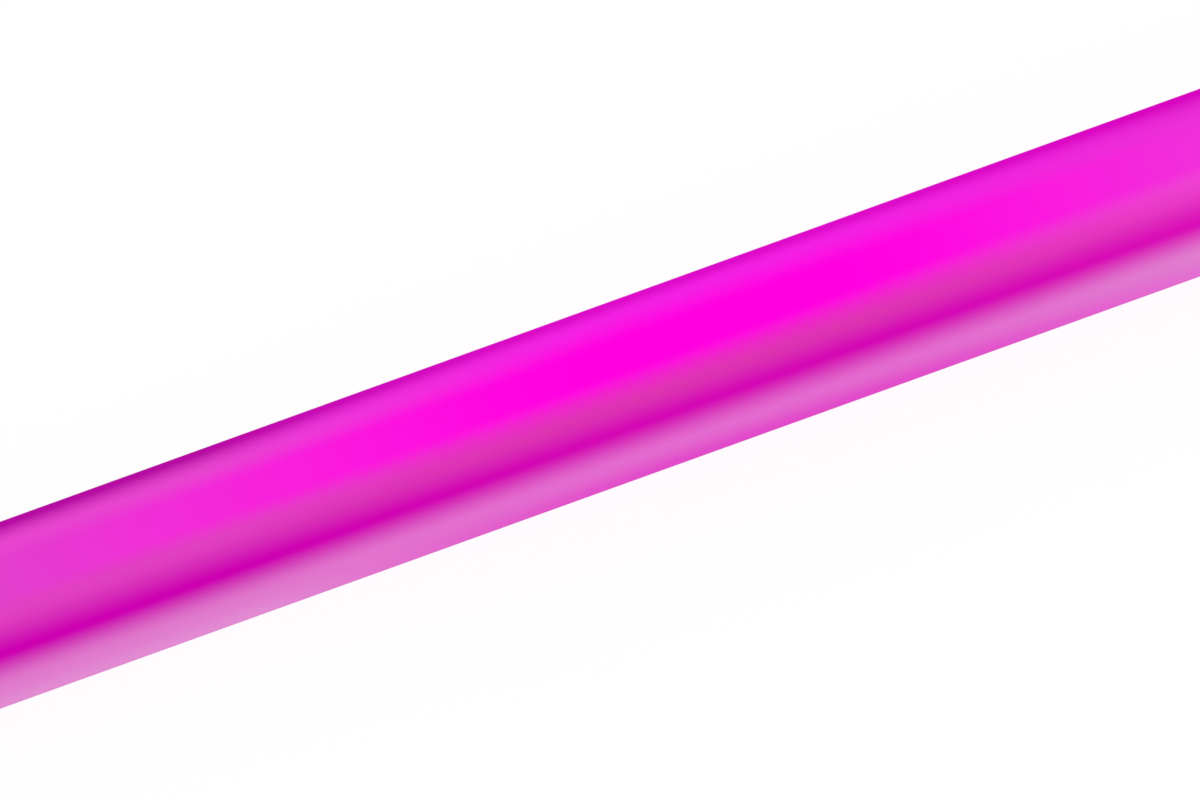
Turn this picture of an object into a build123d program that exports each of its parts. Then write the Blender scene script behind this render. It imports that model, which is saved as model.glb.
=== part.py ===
"""Battery LED light tube for film and photo lighting.

An opal plastic tube is clamped between two moulded end caps. A full-length aluminium spine slides inside
it: a trough on top carries the LED boards, and the bay under the deck holds a line of battery cells.
Each cap is screwed to the ends of the spine and closed by an end plate with a tripod insert, a folding
hanging bail and a rubber bumper to stand on. The longer cap is the control housing: a recessed fascia
with a display, four keys and a dial on the front, and a charging socket under a rubber flap on the back.

Frame: X runs along the tube from the plain end to the control end, Z is up and is the way the LEDs
shine, and the origin is on the floor under the middle. Everything is built about the tube's axis and
raised by axis_height when it is written. "End coordinates" start where the tube's end seats in a cap,
with +X pointing out of the object, so that one function serves both ends.
"""

import math
import os

from build123d import *

os.makedirs("parts", exist_ok=True)

# ---------------------------------------------------------------- driving dimensions, in millimetres

# Opal tube
tube_outer_d = 43.0
tube_wall = 2.0
tube_edge_chamfer = 0.4

# End caps: an octagonal body behind a round collar that takes the tube
socket_depth = 12.0
socket_fit = 0.15  # radial clearance round the tube
cap_wall = 2.35
cap_corner_radius = 3.0
cavity_corner_radius = 1.5
collar_length = 6.0
collar_step = 0.3  # the collar is this much smaller than the flats
collar_chamfer = 0.8
collar_slope = 30.0  # degrees
partition_thickness = 3.0
far_cap_length = 26.0

# Seal ring in each socket
seal_width = 2.2
seal_depth = 1.1  # how far its groove goes into the collar
seal_from_seat = 6.0
seal_fit = 0.05

# Spine extrusion
spine_fit = 0.3  # radial clearance inside the tube
spine_wall = 1.5
deck_thickness = 2.0
window_half_angle = 49.0  # degrees from straight up to the tips of the trough's wings
wing_thickness = 1.4
wing_foot_gap = 0.9  # from the board lips to the wings
fin_thickness = 1.3
fin_depth = 6.0
port_boss_d = 5.0
port_bite = 0.6  # how far a screw port runs into the shell
upper_port_angle = 24.0  # degrees above level
lower_port_angle = -22.5

# LED boards, which slide under lips on the deck
board_count = 3
board_width = 18.0
board_thickness = 1.6
board_gap = 0.5
board_inset = 1.0  # from the spine's ends
board_fit = 0.15
lip_thickness = 1.0
lip_overhang = 0.8
led_size = 5.0
led_height = 1.0
led_count = 18  # on each board
led_margin = 6.0  # from a board's end to its first and last LED's centres
link_length = 9.0
link_height = 1.4
link_side_gap = 0.5  # to the LEDs on one side and a lip on the other

# Battery
cell_count = 6
cell_d = 18.4
cell_length = 65.2
cell_fit = 0.2
spacer_thickness = 1.0
stop_length = 23.9  # the foam at each end of the line of cells
lead_d = 1.8
lead_pitch = 3.0
lead_bend_radius = 6.0
battery_slot_length = 9.0
battery_slot_height = 5.0

# Ribbon from the LED boards
led_lead_d = 1.2
led_lead_pitch = 2.0
led_lead_count = 3
led_slot_width = 12.0
led_slot_height = 4.0

# Screws
spine_screw_d = 2.9
spine_screw_length = 14.0
spine_screw_head_d = 5.2
spine_screw_head_height = 2.0
plate_screw_d = 2.0
plate_screw_length = 18.0
plate_screw_head_d = 4.4
plate_screw_head_height = 1.5
small_screw_d = 1.6
small_screw_length = 4.0
small_screw_head_d = 3.0
small_screw_head_height = 1.0
screw_clearance = 0.4  # on diameter, in a hole that a screw passes through
pilot_clearance = 0.1  # on diameter, in a hole that a screw is driven into
head_clearance = 0.2  # radial, round a sunk head
driver_room = 2.0  # kept clear over the spine screws' heads

# End plates
flange_thickness = 2.5
flange_chamfer = 0.6
neck_length = 8.0
neck_step = 1.5  # the neck's flats are this far in from the cap's
spigot_length = 3.0
spigot_fit = 0.15
plate_wall = 2.0
plate_post_d = 5.6
plate_post_edge = 0.1  # from the posts to the spigot's flats
cap_post_d = 6.6  # the cap's own posts, which run into its wall
cap_post_depth = 14.0
rib_thickness = 1.4
rib_depth = 6.0
sunk_head_margin = 0.1  # screw heads lie this far below the flange

# Tripod insert, 1/4 inch
insert_bore_d = 6.35
insert_d = 10.0
insert_flange_d = 13.0
insert_flange_thickness = 1.0
insert_length = 12.0
insert_fit = 0.05
insert_wall = 2.5
insert_floor = 1.5

# Bumpers, captured between a cap and its end plate
bumper_proud = 1.5  # how far the flats stand out from the cap
bumper_fit = 0.1
bumper_corner_radius = 4.0
bumper_edge_radius = 1.2

# Hanging bails
bail_wire_d = 3.0
bail_drop = 25.0
bail_bend_radius = 3.0
bail_fit = 0.1  # radial, in the hinge block
bail_side_gap = 0.5  # from the hinge block to the start of each bend
bail_pin_engagement = 4.5
bail_stand_off = 1.1  # from the end face to the wire
hinge_height = 13.0
hinge_block_width = 13.0
hinge_block_height = 6.0
hinge_block_cover = 1.2  # over the pin
hinge_block_edge_radius = 1.0

# Fascia and its pocket on the front flat
fascia_thickness = 1.2
fascia_recess = 2.0  # below the flat
fascia_corner_radius = 2.5
fascia_fit = 0.15
fascia_ledge = 1.2  # width of the step that the fascia rests on
stack_height = 4.0  # from the back of the fascia to the control board
pad_start = 3.0  # from the partition
pad_end_margin = 4.0  # beyond the fascia, at each end
pad_side_margin = 1.5
pad_end_gap = 1.0  # to the end plate's spigot

# Display
window_from_end = 4.0  # from the fascia's end nearest the tube
window_length = 26.0
window_side_gap = 0.3  # from its flange to the edge of the fascia's step
window_fit = 0.1
window_flange = 1.0
window_flange_thickness = 0.6
window_corner_radius = 1.0

# Keys, two by two between the display and the dial
key_from_window = 3.9
key_column_gap = 1.8
key_row_gap = 1.4
key_side_gap = 0.5  # from their flanges to the edge of the fascia's step
key_d = 5.2
key_flange_width = 0.4
key_flange_thickness = 0.8
key_proud = 0.9
key_stem_d = 2.4
key_fit = 0.15
key_travel = 0.5
key_edge_radius = 0.3
switch_size = 4.5
switch_height = 1.6
switch_gap = 0.1  # left between a pressed key and its switch

# Dial
dial_from_keys = 5.0
dial_from_end = 5.1  # to the fascia's far end
dial_d = 13.8
dial_thickness = 3.0
dial_gap = 0.3  # above the fascia
dial_cap = 0.9  # thickness over the shaft
dial_scallops = 28
dial_scallop_d = 1.1
dial_dish_d = 10.0
dial_dish_depth = 0.35
shaft_d = 4.0
shaft_flat = 0.7
shaft_fit = 0.05
shaft_seat = 0.5  # left under the shaft in the encoder
encoder_size = 11.0
encoder_gap = 0.2  # under the fascia
shaft_hole_d = 6.0

# Control board behind the fascia
control_board_thickness = 1.2
control_board_edge = 1.15  # from the pad's sides
control_board_inset = 0.5  # from the pad's ends
control_screw_offset = 5.0  # up and down from the board's middle
control_screw_inset = 2.4  # from the pad's ends

# Components on the back of the control board: length, height and how far they stand off
processor_size = (9.0, 9.0, 1.2)
radio_size = (14.0, 11.0, 2.4)
inductor_size = (7.0, 7.0, 4.0)
lead_socket_size = (7.0, 6.0, 5.0)
component_start = 10.5  # from the board's end
component_gap = 3.5

# Charging socket and its flap, on the back flat
charge_x = 50.0
receptacle_width = 8.94
receptacle_height = 3.2
receptacle_depth = 6.5
receptacle_shell = 0.35
receptacle_mouth_depth = 5.5
tongue_width = 6.7
tongue_thickness = 0.7
mouth_clearance = 0.7
charge_pad_thickness = 2.0
charge_pad_margin = 2.0
charge_board_length = 25.0
charge_board_height = 13.0
charge_board_thickness = 1.2
charge_screw_spacing = 19.0
charge_post_d = 4.6
flap_length = 20.0
flap_height = 8.0
flap_thickness = 1.6
flap_fit = 0.3
flap_corner_radius = 2.0
flap_hinge_offset = 12.0  # from the socket's centre to the hinge line
plug_depth = 1.3
plug_gap = 0.3  # from the flap's plug to the receptacle
anchor_length = 4.0
anchor_peg_d = 2.4
anchor_peg_length = 1.5
anchor_peg_fit = 0.05
flap_seam = 0.2
nail_notch_d = 6.0  # half of it shows past the flap's free end

# Cutting shapes run this far past what they cut
cut_over = 1.0

# ---------------------------------------------------------------- what follows from them

tube_outer_r = tube_outer_d / 2
tube_inner_r = tube_outer_r - tube_wall
socket_r = tube_outer_r + socket_fit
cavity_flats = 2 * socket_r
cap_flats = cavity_flats + 2 * cap_wall
bumper_flats = cap_flats + 2 * bumper_proud
neck_flats = cap_flats - 2 * neck_step
spigot_flats = cavity_flats - 2 * spigot_fit
plate_bore_flats = spigot_flats - 2 * plate_wall
axis_height = bumper_flats / 2

# The fascia's layout, from its end nearest the tube
key_flange_d = key_d + 2 * key_flange_width
key_row_offset = (key_d + key_row_gap) / 2
window_centre = window_from_end + window_length / 2
first_key = window_from_end + window_length + key_from_window + key_d / 2
key_columns = (first_key, first_key + key_d + key_column_gap)
dial_centre = key_columns[-1] + key_d / 2 + dial_from_keys + dial_d / 2
fascia_length = dial_centre + dial_d / 2 + dial_from_end
aperture_height = 2 * (key_row_offset + key_flange_d / 2 + key_side_gap)
fascia_height = aperture_height + 2 * fascia_ledge
window_height = aperture_height - 2 * (window_flange + window_side_gap)
pad_x = partition_thickness + pad_start
fascia_x = pad_x + pad_end_margin
pad_length = fascia_length + 2 * pad_end_margin
pad_height = fascia_height + 2 * (fascia_fit + pad_side_margin)
control_board_height = pad_height - 2 * control_board_edge
encoder_height = stack_height - encoder_gap

# The battery sets the tube's length, and the fascia sets the control housing's
pack_length = cell_count * cell_length + (cell_count - 1) * spacer_thickness
tube_length = pack_length + 2 * stop_length
control_cap_length = socket_depth + pad_x + pad_length + pad_end_gap + spigot_length

# Where things lie along X, from one outer end face to the other
end_stack = neck_length + flange_thickness
visible_length = tube_length - 2 * socket_depth
overall_length = far_cap_length + visible_length + control_cap_length + 2 * end_stack
far_seat_x = -overall_length / 2 + end_stack + far_cap_length - socket_depth
control_seat_x = far_seat_x + tube_length

# Spine section, about the tube's axis
spine_outer_r = tube_inner_r - spine_fit
spine_inner_r = spine_outer_r - spine_wall
cell_r = cell_d / 2
cell_z = -(spine_inner_r - cell_fit - cell_r)
deck_bottom = cell_z + cell_r + cell_fit
deck_top = deck_bottom + deck_thickness
board_top = deck_top + board_thickness
lip_inner_y = board_width / 2 + board_fit
wing_foot_y = lip_inner_y + lip_thickness + wing_foot_gap
port_circle_r = spine_inner_r - port_boss_d / 2 + port_bite
port_points = [
    (side * port_circle_r * math.cos(math.radians(a)), port_circle_r * math.sin(math.radians(a)))
    for a in (upper_port_angle, lower_port_angle)
    for side in (-1, 1)
]

# LED boards along the spine, and the links over their joints
board_length = (tube_length - 2 * board_inset - (board_count - 1) * board_gap) / board_count
link_inner_y = led_size / 2 + link_side_gap
link_outer_y = lip_inner_y - lip_overhang - link_side_gap

# Depths behind the front flat, measured from the tube's axis
front_flat = cap_flats / 2
fascia_face = front_flat - fascia_recess
fascia_back = fascia_face - fascia_thickness
board_face = fascia_back - stack_height
board_back = board_face - control_board_thickness
component_row = (lead_socket_size, lead_socket_size, processor_size, inductor_size, radio_size)
component_x = []
component_edge = pad_x + component_start
for component_length, _, _ in component_row:
    component_x.append(component_edge + component_length / 2)
    component_edge += component_length + component_gap

# Bails
bail_half_width = hinge_block_width / 2 + bail_side_gap + bail_bend_radius
bail_pin_end = hinge_block_width / 2 - bail_pin_engagement

# End plate posts, at the corners of a square
plate_post_offset = (spigot_flats / 2 - plate_post_d / 2 - plate_post_edge) / math.sqrt(2)
post_points = [(y * plate_post_offset, z * plate_post_offset) for y in (-1, 1) for z in (-1, 1)]
plate_screw_seat = flange_thickness - plate_screw_head_height - sunk_head_margin

# Charging socket, from the tube's axis outwards
charge_pad_face = cavity_flats / 2 - charge_pad_thickness
flap_seat = front_flat - flap_thickness
receptacle_mouth_y = flap_seat - plug_depth - plug_gap
charge_board_face = receptacle_mouth_y - receptacle_depth
flap_hinge_x = charge_x - flap_hinge_offset


# ---------------------------------------------------------------- helpers


def octagon(across_flats, corner_radius):
    """A regular octagon with flats to the front, back, top and bottom, and rounded corners."""
    outline = RegularPolygon(across_flats / 2, 8, major_radius=False, rotation=360 / 16)
    return fillet(outline.vertices(), corner_radius)


def prism(section, start, end):
    """A section across the tube, drawn as (Y, Z), stretched along X from start to end."""
    return extrude(Plane.YZ.offset(start) * section, end - start)


def front_prism(section, near, far):
    """A section drawn as (X, Z) and stretched towards the front, between two distances from the axis."""
    return extrude(Plane.XZ.offset(near) * section, far - near)


def back_prism(section, near, far):
    """A section drawn as (X, Z) and stretched towards the back, between two distances from the axis."""
    return extrude(Plane.XZ.offset(-far) * section, far - near)


def rounded_bar(length, height, radius, centre=(0, 0)):
    """A rectangle with rounded corners about a centre."""
    return Pos(*centre) * RectangleRounded(length, height, radius)


def discs(points, diameter):
    """One round section at each point."""
    return [Pos(*point) * Circle(diameter / 2) for point in points]


def screw(shank_d, shank_length, head_d, head_height):
    """A screw along X: the head's seat is at x = 0, the shank goes to -X, and a hex socket is sunk."""
    socket_d, socket_share = 0.5 * head_d, 0.6
    head = prism(Circle(head_d / 2), 0, head_height)
    head = chamfer(head.faces().sort_by(Axis.X)[-1].edges(), 0.15 * head_height)
    socket = RegularPolygon(socket_d / 2, 6)
    head -= prism(socket, (1 - socket_share) * head_height, head_height)
    shank = prism(Circle(shank_d / 2), -shank_length, 0)
    return head + chamfer(shank.faces().sort_by(Axis.X)[0].edges(), 0.2 * shank_d)


def at_control(shape):
    """Puts a shape in end coordinates at the control end."""
    return Pos(control_seat_x, 0, 0) * shape


def at_far(shape):
    """Puts a shape in end coordinates at the plain end, turned to face out."""
    return Pos(far_seat_x, 0, 0) * Rot(0, 0, 180) * shape


def write(name, *shapes):
    """Writes one sub-part, raised so that the bumpers stand on the floor."""
    solids = [solid for shape in shapes for solid in shape.solids()]
    raised = [Pos(0, 0, axis_height) * solid for solid in solids]
    export_step(raised[0] if len(raised) == 1 else Compound(children=raised), f"parts/{name}.step")


# ---------------------------------------------------------------- light section


def diffuser_tube():
    tube = prism(Circle(tube_outer_r) - Circle(tube_inner_r), far_seat_x, control_seat_x)
    return chamfer(tube.edges().filter_by(GeomType.CIRCLE), tube_edge_chamfer)


def spine_section():
    """Shell round the back of the tube, a deck across it, a trough of two wings and four screw ports."""
    reach = 2 * spine_outer_r
    tip = math.radians(window_half_angle)
    window = Polygon(
        (0, 0),
        (reach * math.sin(tip), reach * math.cos(tip)),
        (-reach * math.sin(tip), reach * math.cos(tip)),
        align=None,
    )
    shell = Circle(spine_outer_r) - Circle(spine_inner_r) - window
    deck = Pos(0, (deck_top + deck_bottom) / 2) * Rectangle(2 * spine_outer_r, deck_thickness)
    section = shell + deck

    tip_r = (spine_outer_r + spine_inner_r) / 2
    tip_y, tip_z = tip_r * math.sin(tip), tip_r * math.cos(tip)
    foot_z = (deck_bottom + deck_top) / 2
    lean = math.degrees(math.atan2(tip_z - foot_z, tip_y - wing_foot_y))
    wing_length = math.hypot(tip_z - foot_z, tip_y - wing_foot_y)
    middle = ((tip_y + wing_foot_y) / 2, (tip_z + foot_z) / 2)
    wing = Pos(*middle) * Rot(0, 0, lean) * SlotCenterToCenter(wing_length, wing_thickness)
    section += [wing, mirror(wing, about=Plane.YZ)]

    fin_y = cell_r + cell_fit + fin_thickness / 2
    fin = Pos(fin_y, deck_bottom - fin_depth / 2) * Rectangle(fin_thickness, fin_depth + deck_thickness)
    section += [fin, mirror(fin, about=Plane.YZ)]

    section += discs(port_points, port_boss_d)
    section &= Circle(spine_outer_r)
    section -= discs(port_points, spine_screw_d + pilot_clearance)
    section += board_lips()
    return section


def board_lips():
    """The two hooked lips that hold the LED boards down on the deck."""
    hook_bottom = board_top + board_fit
    hook_top = hook_bottom + lip_thickness
    inner, outer = lip_inner_y, lip_inner_y + lip_thickness
    lip = Polygon(
        (inner, deck_bottom),
        (outer, deck_bottom),
        (outer, hook_top),
        (inner - lip_overhang, hook_top),
        (inner - lip_overhang, hook_bottom),
        (inner, hook_bottom),
        align=None,
    )
    return [lip, mirror(lip, about=Plane.YZ)]


def spine():
    return prism(spine_section(), far_seat_x, control_seat_x)


def board_start(index):
    """Where an LED board begins along X, counted from the plain end."""
    return far_seat_x + board_inset + index * (board_length + board_gap)


def led_board(index):
    board = Pos(0, deck_top + board_thickness / 2) * Rectangle(board_width, board_thickness)
    return prism(board, board_start(index), board_start(index) + board_length)


def led_packages(index):
    """A row of surface-mounted LEDs on one board."""
    pitch = (board_length - 2 * led_margin) / (led_count - 1)
    first = board_start(index) + led_margin
    package = Box(led_size, led_size, led_height, align=(Align.CENTER, Align.CENTER, Align.MIN))
    return [Pos(first + i * pitch, 0, board_top) * package for i in range(led_count)]


def board_links():
    """Two small connectors over each joint between LED boards."""
    width, middle = link_outer_y - link_inner_y, (link_outer_y + link_inner_y) / 2
    link = Box(link_length, width, link_height, align=(Align.CENTER, Align.CENTER, Align.MIN))
    joints = [board_start(i) - board_gap / 2 for i in range(1, board_count)]
    return [Pos(x, side * middle, board_top) * link for x in joints for side in (-1, 1)]


def battery_stop(start):
    """A foam puck that holds the line of cells endways."""
    return prism(Pos(0, cell_z) * Circle(cell_r), start, start + stop_length)


def battery_cells():
    """Round cells in line, each with a raised positive cap."""
    cap_d, cap_height, edge = 0.5 * cell_d, 1.2, 0.8
    cells = []
    for i in range(cell_count):
        start = far_seat_x + stop_length + i * (cell_length + spacer_thickness)
        can = prism(Pos(0, cell_z) * Circle(cell_r), start, start + cell_length - cap_height)
        can = chamfer(can.edges().filter_by(GeomType.CIRCLE), edge)
        cap = prism(Pos(0, cell_z) * Circle(cap_d / 2), start, start + cell_length)
        cells.append(can + cap)
    return cells


def cell_spacers():
    """Fibre discs between the cells."""
    pitch = cell_length + spacer_thickness
    first = far_seat_x + stop_length + cell_length
    disc = Pos(0, cell_z) * Circle(cell_r)
    starts = [first + i * pitch for i in range(cell_count - 1)]
    return [prism(disc, start, start + spacer_thickness) for start in starts]


def bent_lead(start, corner_x, end_y, diameter):
    """A wire along X that turns towards the front at corner_x and ends at end_y. End coordinates."""
    corner, end = (corner_x, start[1], start[2]), (corner_x, end_y, start[2])
    path = FilletPolyline(start, corner, end, radius=lead_bend_radius)
    return sweep(Plane(origin=start, z_dir=(1, 0, 0)) * Circle(diameter / 2), path=path)


def battery_leads():
    """Two wires from the battery to the control board, one above the other."""
    heights = (cell_z - lead_pitch / 2, cell_z + lead_pitch / 2)
    end_y = -(board_back - lead_socket_size[2])
    return [bent_lead((0, 0, z), component_x[0], end_y, lead_d) for z in heights]


def led_leads():
    """Side by side wires from the pads of the last LED board to the control board."""
    z = board_top + led_lead_d / 2
    end_y = -(board_back - lead_socket_size[2])
    middle = (led_lead_count - 1) / 2
    wires = []
    for i in range(led_lead_count):
        offset = (i - middle) * led_lead_pitch
        wires.append(bent_lead((-2 * board_inset, offset, z), component_x[1] + offset, end_y, led_lead_d))
    return wires


# ---------------------------------------------------------------- end caps, in end coordinates


def collar_turning(mouth, end):
    """The round collar and the slope that rises from it to the octagon's corners, turned as one solid."""
    collar_r = cap_flats / 2 - collar_step
    corner_r = cap_flats / 2 / math.cos(math.pi / 8)
    slope_end = mouth + collar_length + (corner_r - collar_r) / math.tan(math.radians(collar_slope))
    outline = Polygon(
        (mouth, 0),
        (mouth, collar_r - collar_chamfer),
        (mouth + collar_chamfer, collar_r),
        (mouth + collar_length, collar_r),
        (slope_end, corner_r),
        (end, corner_r),
        (end, 0),
        align=None,
    )
    return revolve(outline, Axis.X)


def cap_shell(length):
    """A cap's shell: collar with tube socket and seal groove, partition, and a cavity with four posts."""
    mouth, end = -socket_depth, length - socket_depth
    shell = prism(octagon(cap_flats, cap_corner_radius), mouth, end) & collar_turning(mouth, end)
    shell -= prism(Circle(socket_r), mouth, 0)
    shell -= prism(Circle(socket_r + seal_depth), -seal_from_seat - seal_width, -seal_from_seat)

    cavity = prism(octagon(cavity_flats, cavity_corner_radius), partition_thickness, end)
    shell -= cavity
    post_end = end - spigot_length
    post_start = max(post_end - cap_post_depth, partition_thickness + spine_screw_head_height + driver_room)
    for disc in discs(post_points, cap_post_d):
        shell += prism(disc, post_start, post_end) & prism(octagon(cap_flats, cap_corner_radius), mouth, end)
    for disc in discs(post_points, plate_screw_d + pilot_clearance):
        shell -= prism(disc, post_start, post_end)
    for disc in discs(port_points, spine_screw_d + screw_clearance):
        shell -= prism(disc, 0, partition_thickness)
    return shell


def far_cap():
    return cap_shell(far_cap_length)


def control_housing():
    """The long cap, with the fascia's pocket on the front and the charging socket's pad on the back."""
    housing = cap_shell(control_cap_length) + fascia_pad() + charge_pad()
    middle = fascia_x + fascia_length / 2
    pocket = rounded_bar(
        fascia_length + 2 * fascia_fit, fascia_height + 2 * fascia_fit, fascia_corner_radius, (middle, 0)
    )
    aperture = rounded_bar(
        fascia_length - 2 * fascia_ledge, aperture_height, fascia_corner_radius - fascia_ledge, (middle, 0)
    )
    housing -= front_prism(pocket, fascia_back, front_flat + cut_over)
    housing -= front_prism(aperture, board_face - cut_over, front_flat)
    for disc in discs(control_screw_points(), small_screw_d + pilot_clearance):
        housing -= front_prism(disc, board_face, board_face + small_screw_length)

    housing -= back_prism(flap_outline(flap_fit), flap_seat, front_flat + cut_over)
    mouth = rounded_bar(
        receptacle_width + 2 * mouth_clearance,
        receptacle_height + 2 * mouth_clearance,
        receptacle_height / 2,
        (charge_x, 0),
    )
    housing -= back_prism(mouth, charge_pad_face - cut_over, front_flat)
    peg = Pos(*anchor_peg_point()) * Circle(anchor_peg_d / 2 + anchor_peg_fit)
    housing -= back_prism(peg, flap_seat - anchor_peg_length - anchor_peg_fit, flap_seat)
    notch = Pos(flap_hinge_x + flap_length, 0) * Circle(nail_notch_d / 2)
    housing -= back_prism(notch, flap_seat, front_flat + cut_over)
    for disc in discs(charge_screw_points(), small_screw_d + pilot_clearance):
        housing -= back_prism(disc, charge_board_face, charge_board_face + small_screw_length)

    battery_slot = SlotOverall(battery_slot_length, battery_slot_height, rotation=90)
    housing -= prism(Pos(0, cell_z) * battery_slot, 0, partition_thickness)
    led_slot = Pos(0, board_top + led_slot_height / 2) * SlotOverall(led_slot_width, led_slot_height)
    housing -= prism(led_slot, 0, partition_thickness)
    return housing


def fascia_pad():
    """The frame moulded inside the front wall, from the flat down to the control board."""
    pad = Pos(pad_x + pad_length / 2, 0) * Rectangle(pad_length, pad_height)
    outer = prism(octagon(cap_flats, cap_corner_radius), pad_x, pad_x + pad_length)
    return front_prism(pad, board_face, front_flat) & outer


def charge_pad():
    """The thickened back wall round the charging socket, and the two posts for its board."""
    length = flap_length + anchor_length + 2 * charge_pad_margin
    middle = flap_hinge_x + (flap_length - anchor_length) / 2
    pad = Pos(middle, 0) * Rectangle(length, flap_height + 2 * charge_pad_margin)
    posts = discs(charge_screw_points(), charge_post_d)
    return back_prism(pad, charge_pad_face, flap_seat) + [
        back_prism(post, charge_board_face, flap_seat) for post in posts
    ]


def control_screw_points():
    """The control board's four screws, at the ends of the pad."""
    ends = (pad_x + control_screw_inset, pad_x + pad_length - control_screw_inset)
    return [(x, z * control_screw_offset) for x in ends for z in (-1, 1)]


def charge_screw_points():
    return [(charge_x + side * charge_screw_spacing / 2, 0) for side in (-1, 1)]


def tube_seal():
    """The ring squeezed between the tube and the collar's groove."""
    inner, outer = tube_outer_r + seal_fit, socket_r + seal_depth - seal_fit
    ring = prism(Circle(outer) - Circle(inner), -seal_from_seat - seal_width, -seal_from_seat)
    return chamfer(ring.edges().filter_by(GeomType.CIRCLE), 0.3 * (outer - inner))


def spine_screws():
    one = screw(spine_screw_d, spine_screw_length, spine_screw_head_d, spine_screw_head_height)
    return [Pos(partition_thickness, y, z) * one for y, z in port_points]


# ---------------------------------------------------------------- end plates, bumpers and bails


def end_plate(length):
    """A plate that closes a cap: flange, neck for the bumper, spigot, insert boss, posts and hinge block."""
    end = length - socket_depth
    flange_inner, face = end + neck_length, end + end_stack
    flange = prism(octagon(cap_flats, cap_corner_radius), flange_inner, face)
    plate = chamfer(flange.faces().sort_by(Axis.X)[-1].edges(), flange_chamfer)
    plate += prism(octagon(neck_flats, cap_corner_radius), end, flange_inner)
    plate += prism(octagon(spigot_flats, cavity_corner_radius), end - spigot_length, end)
    plate -= prism(octagon(plate_bore_flats, cavity_corner_radius), end - spigot_length, flange_inner)

    boss_r = insert_d / 2 + insert_wall
    plate += prism(Circle(boss_r), face - insert_length - insert_floor, flange_inner)
    for y, z in post_points:
        plate += prism(Pos(y, z) * Circle(plate_post_d / 2), end - spigot_length, flange_inner)
        reach = math.hypot(y, z)
        rib = Pos(y / 2, z / 2) * Rot(0, 0, math.degrees(math.atan2(z, y))) * Rectangle(reach, rib_thickness)
        plate += prism(rib, flange_inner - rib_depth, flange_inner)

    plate -= prism(Circle(insert_d / 2 + insert_fit), face - insert_length, face)
    plate -= prism(Circle(insert_flange_d / 2 + insert_fit), face - insert_flange_thickness, face)
    for disc in discs(post_points, plate_screw_d + screw_clearance):
        plate -= prism(disc, end - spigot_length, face)
    for disc in discs(post_points, plate_screw_head_d + 2 * head_clearance):
        plate -= prism(disc, flange_inner + plate_screw_seat, face)
    return plate + hinge_block(face)


def bail_axis_x(face):
    """Where a bail's hinge line lies along X, given its end face."""
    return face + bail_stand_off + bail_wire_d / 2


def hinge_block(face):
    """The bored block on the end face that the bail's two pins turn in."""
    depth = bail_stand_off + bail_wire_d + bail_fit + hinge_block_cover
    block = Box(depth, hinge_block_width, hinge_block_height, align=(Align.MIN, Align.CENTER, Align.CENTER))
    block = fillet(block.faces().sort_by(Axis.X)[-1].edges(), hinge_block_edge_radius)
    block = Pos(face, 0, hinge_height) * block
    bore = Cylinder(bail_wire_d / 2 + bail_fit, 2 * hinge_block_width, rotation=(90, 0, 0))
    return block - Pos(bail_axis_x(face), 0, hinge_height) * bore


def bail(length):
    """A wire bail that hangs down over the end face, its two ends turned inwards as hinge pins."""
    x = bail_axis_x(length - socket_depth + end_stack)
    low = hinge_height - bail_drop
    corners = [
        (x, -bail_pin_end, hinge_height),
        (x, -bail_half_width, hinge_height),
        (x, -bail_half_width, low),
        (x, bail_half_width, low),
        (x, bail_half_width, hinge_height),
        (x, bail_pin_end, hinge_height),
    ]
    round_end = bail_half_width - 0.1
    path = FilletPolyline(*corners, radius=[bail_bend_radius, round_end, round_end, bail_bend_radius])
    wire = Plane(origin=corners[0], z_dir=(0, -1, 0)) * Circle(bail_wire_d / 2)
    return sweep(wire, path=path)


def bumper(length):
    """An octagonal rubber ring on the end plate's neck. Its bottom flat is what the object stands on."""
    end = length - socket_depth
    ring = prism(octagon(bumper_flats, bumper_corner_radius), end, end + neck_length)
    rims = ring.faces().filter_by(Plane.YZ).edges()
    ring = fillet(rims, bumper_edge_radius)
    return ring - prism(octagon(neck_flats + 2 * bumper_fit, cap_corner_radius), end, end + neck_length)


def insert(length):
    """A brass bush with a flange at the end face."""
    face = length - socket_depth + end_stack
    bush = prism(Circle(insert_d / 2), face - insert_length, face)
    bush += prism(Circle(insert_flange_d / 2), face - insert_flange_thickness, face)
    return bush - prism(Circle(insert_bore_d / 2), face - insert_length, face)


def plate_screws(length):
    seat = length - socket_depth + neck_length + plate_screw_seat
    one = screw(plate_screw_d, plate_screw_length, plate_screw_head_d, plate_screw_head_height)
    return [Pos(seat, y, z) * one for y, z in post_points]


# ---------------------------------------------------------------- controls, in end coordinates


def window_outline(margin):
    """The display window's outline, larger by a margin all round."""
    centre = (fascia_x + window_centre, 0)
    return rounded_bar(window_length + 2 * margin, window_height + 2 * margin, window_corner_radius, centre)


def key_points():
    return [(fascia_x + x, z * key_row_offset) for x in key_columns for z in (-1, 1)]


def control_fascia():
    """The plate in the pocket, pierced for the window, the keys and the dial's shaft."""
    middle = (fascia_x + fascia_length / 2, 0)
    outline = rounded_bar(fascia_length, fascia_height, fascia_corner_radius - fascia_fit, middle)
    outline -= window_outline(window_fit)
    outline -= discs(key_points(), key_d + 2 * key_fit)
    outline -= discs([(fascia_x + dial_centre, 0)], shaft_hole_d)
    return front_prism(outline, fascia_back, fascia_face)


def display_window():
    """A clear window that fills its opening, with a flange behind the fascia."""
    pane = front_prism(window_outline(0), fascia_back, fascia_face)
    flange = window_outline(window_flange)
    return pane + front_prism(flange, fascia_back - window_flange_thickness, fascia_back)


def display_module():
    return front_prism(window_outline(window_flange), board_face, fascia_back - window_flange_thickness)


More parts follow.
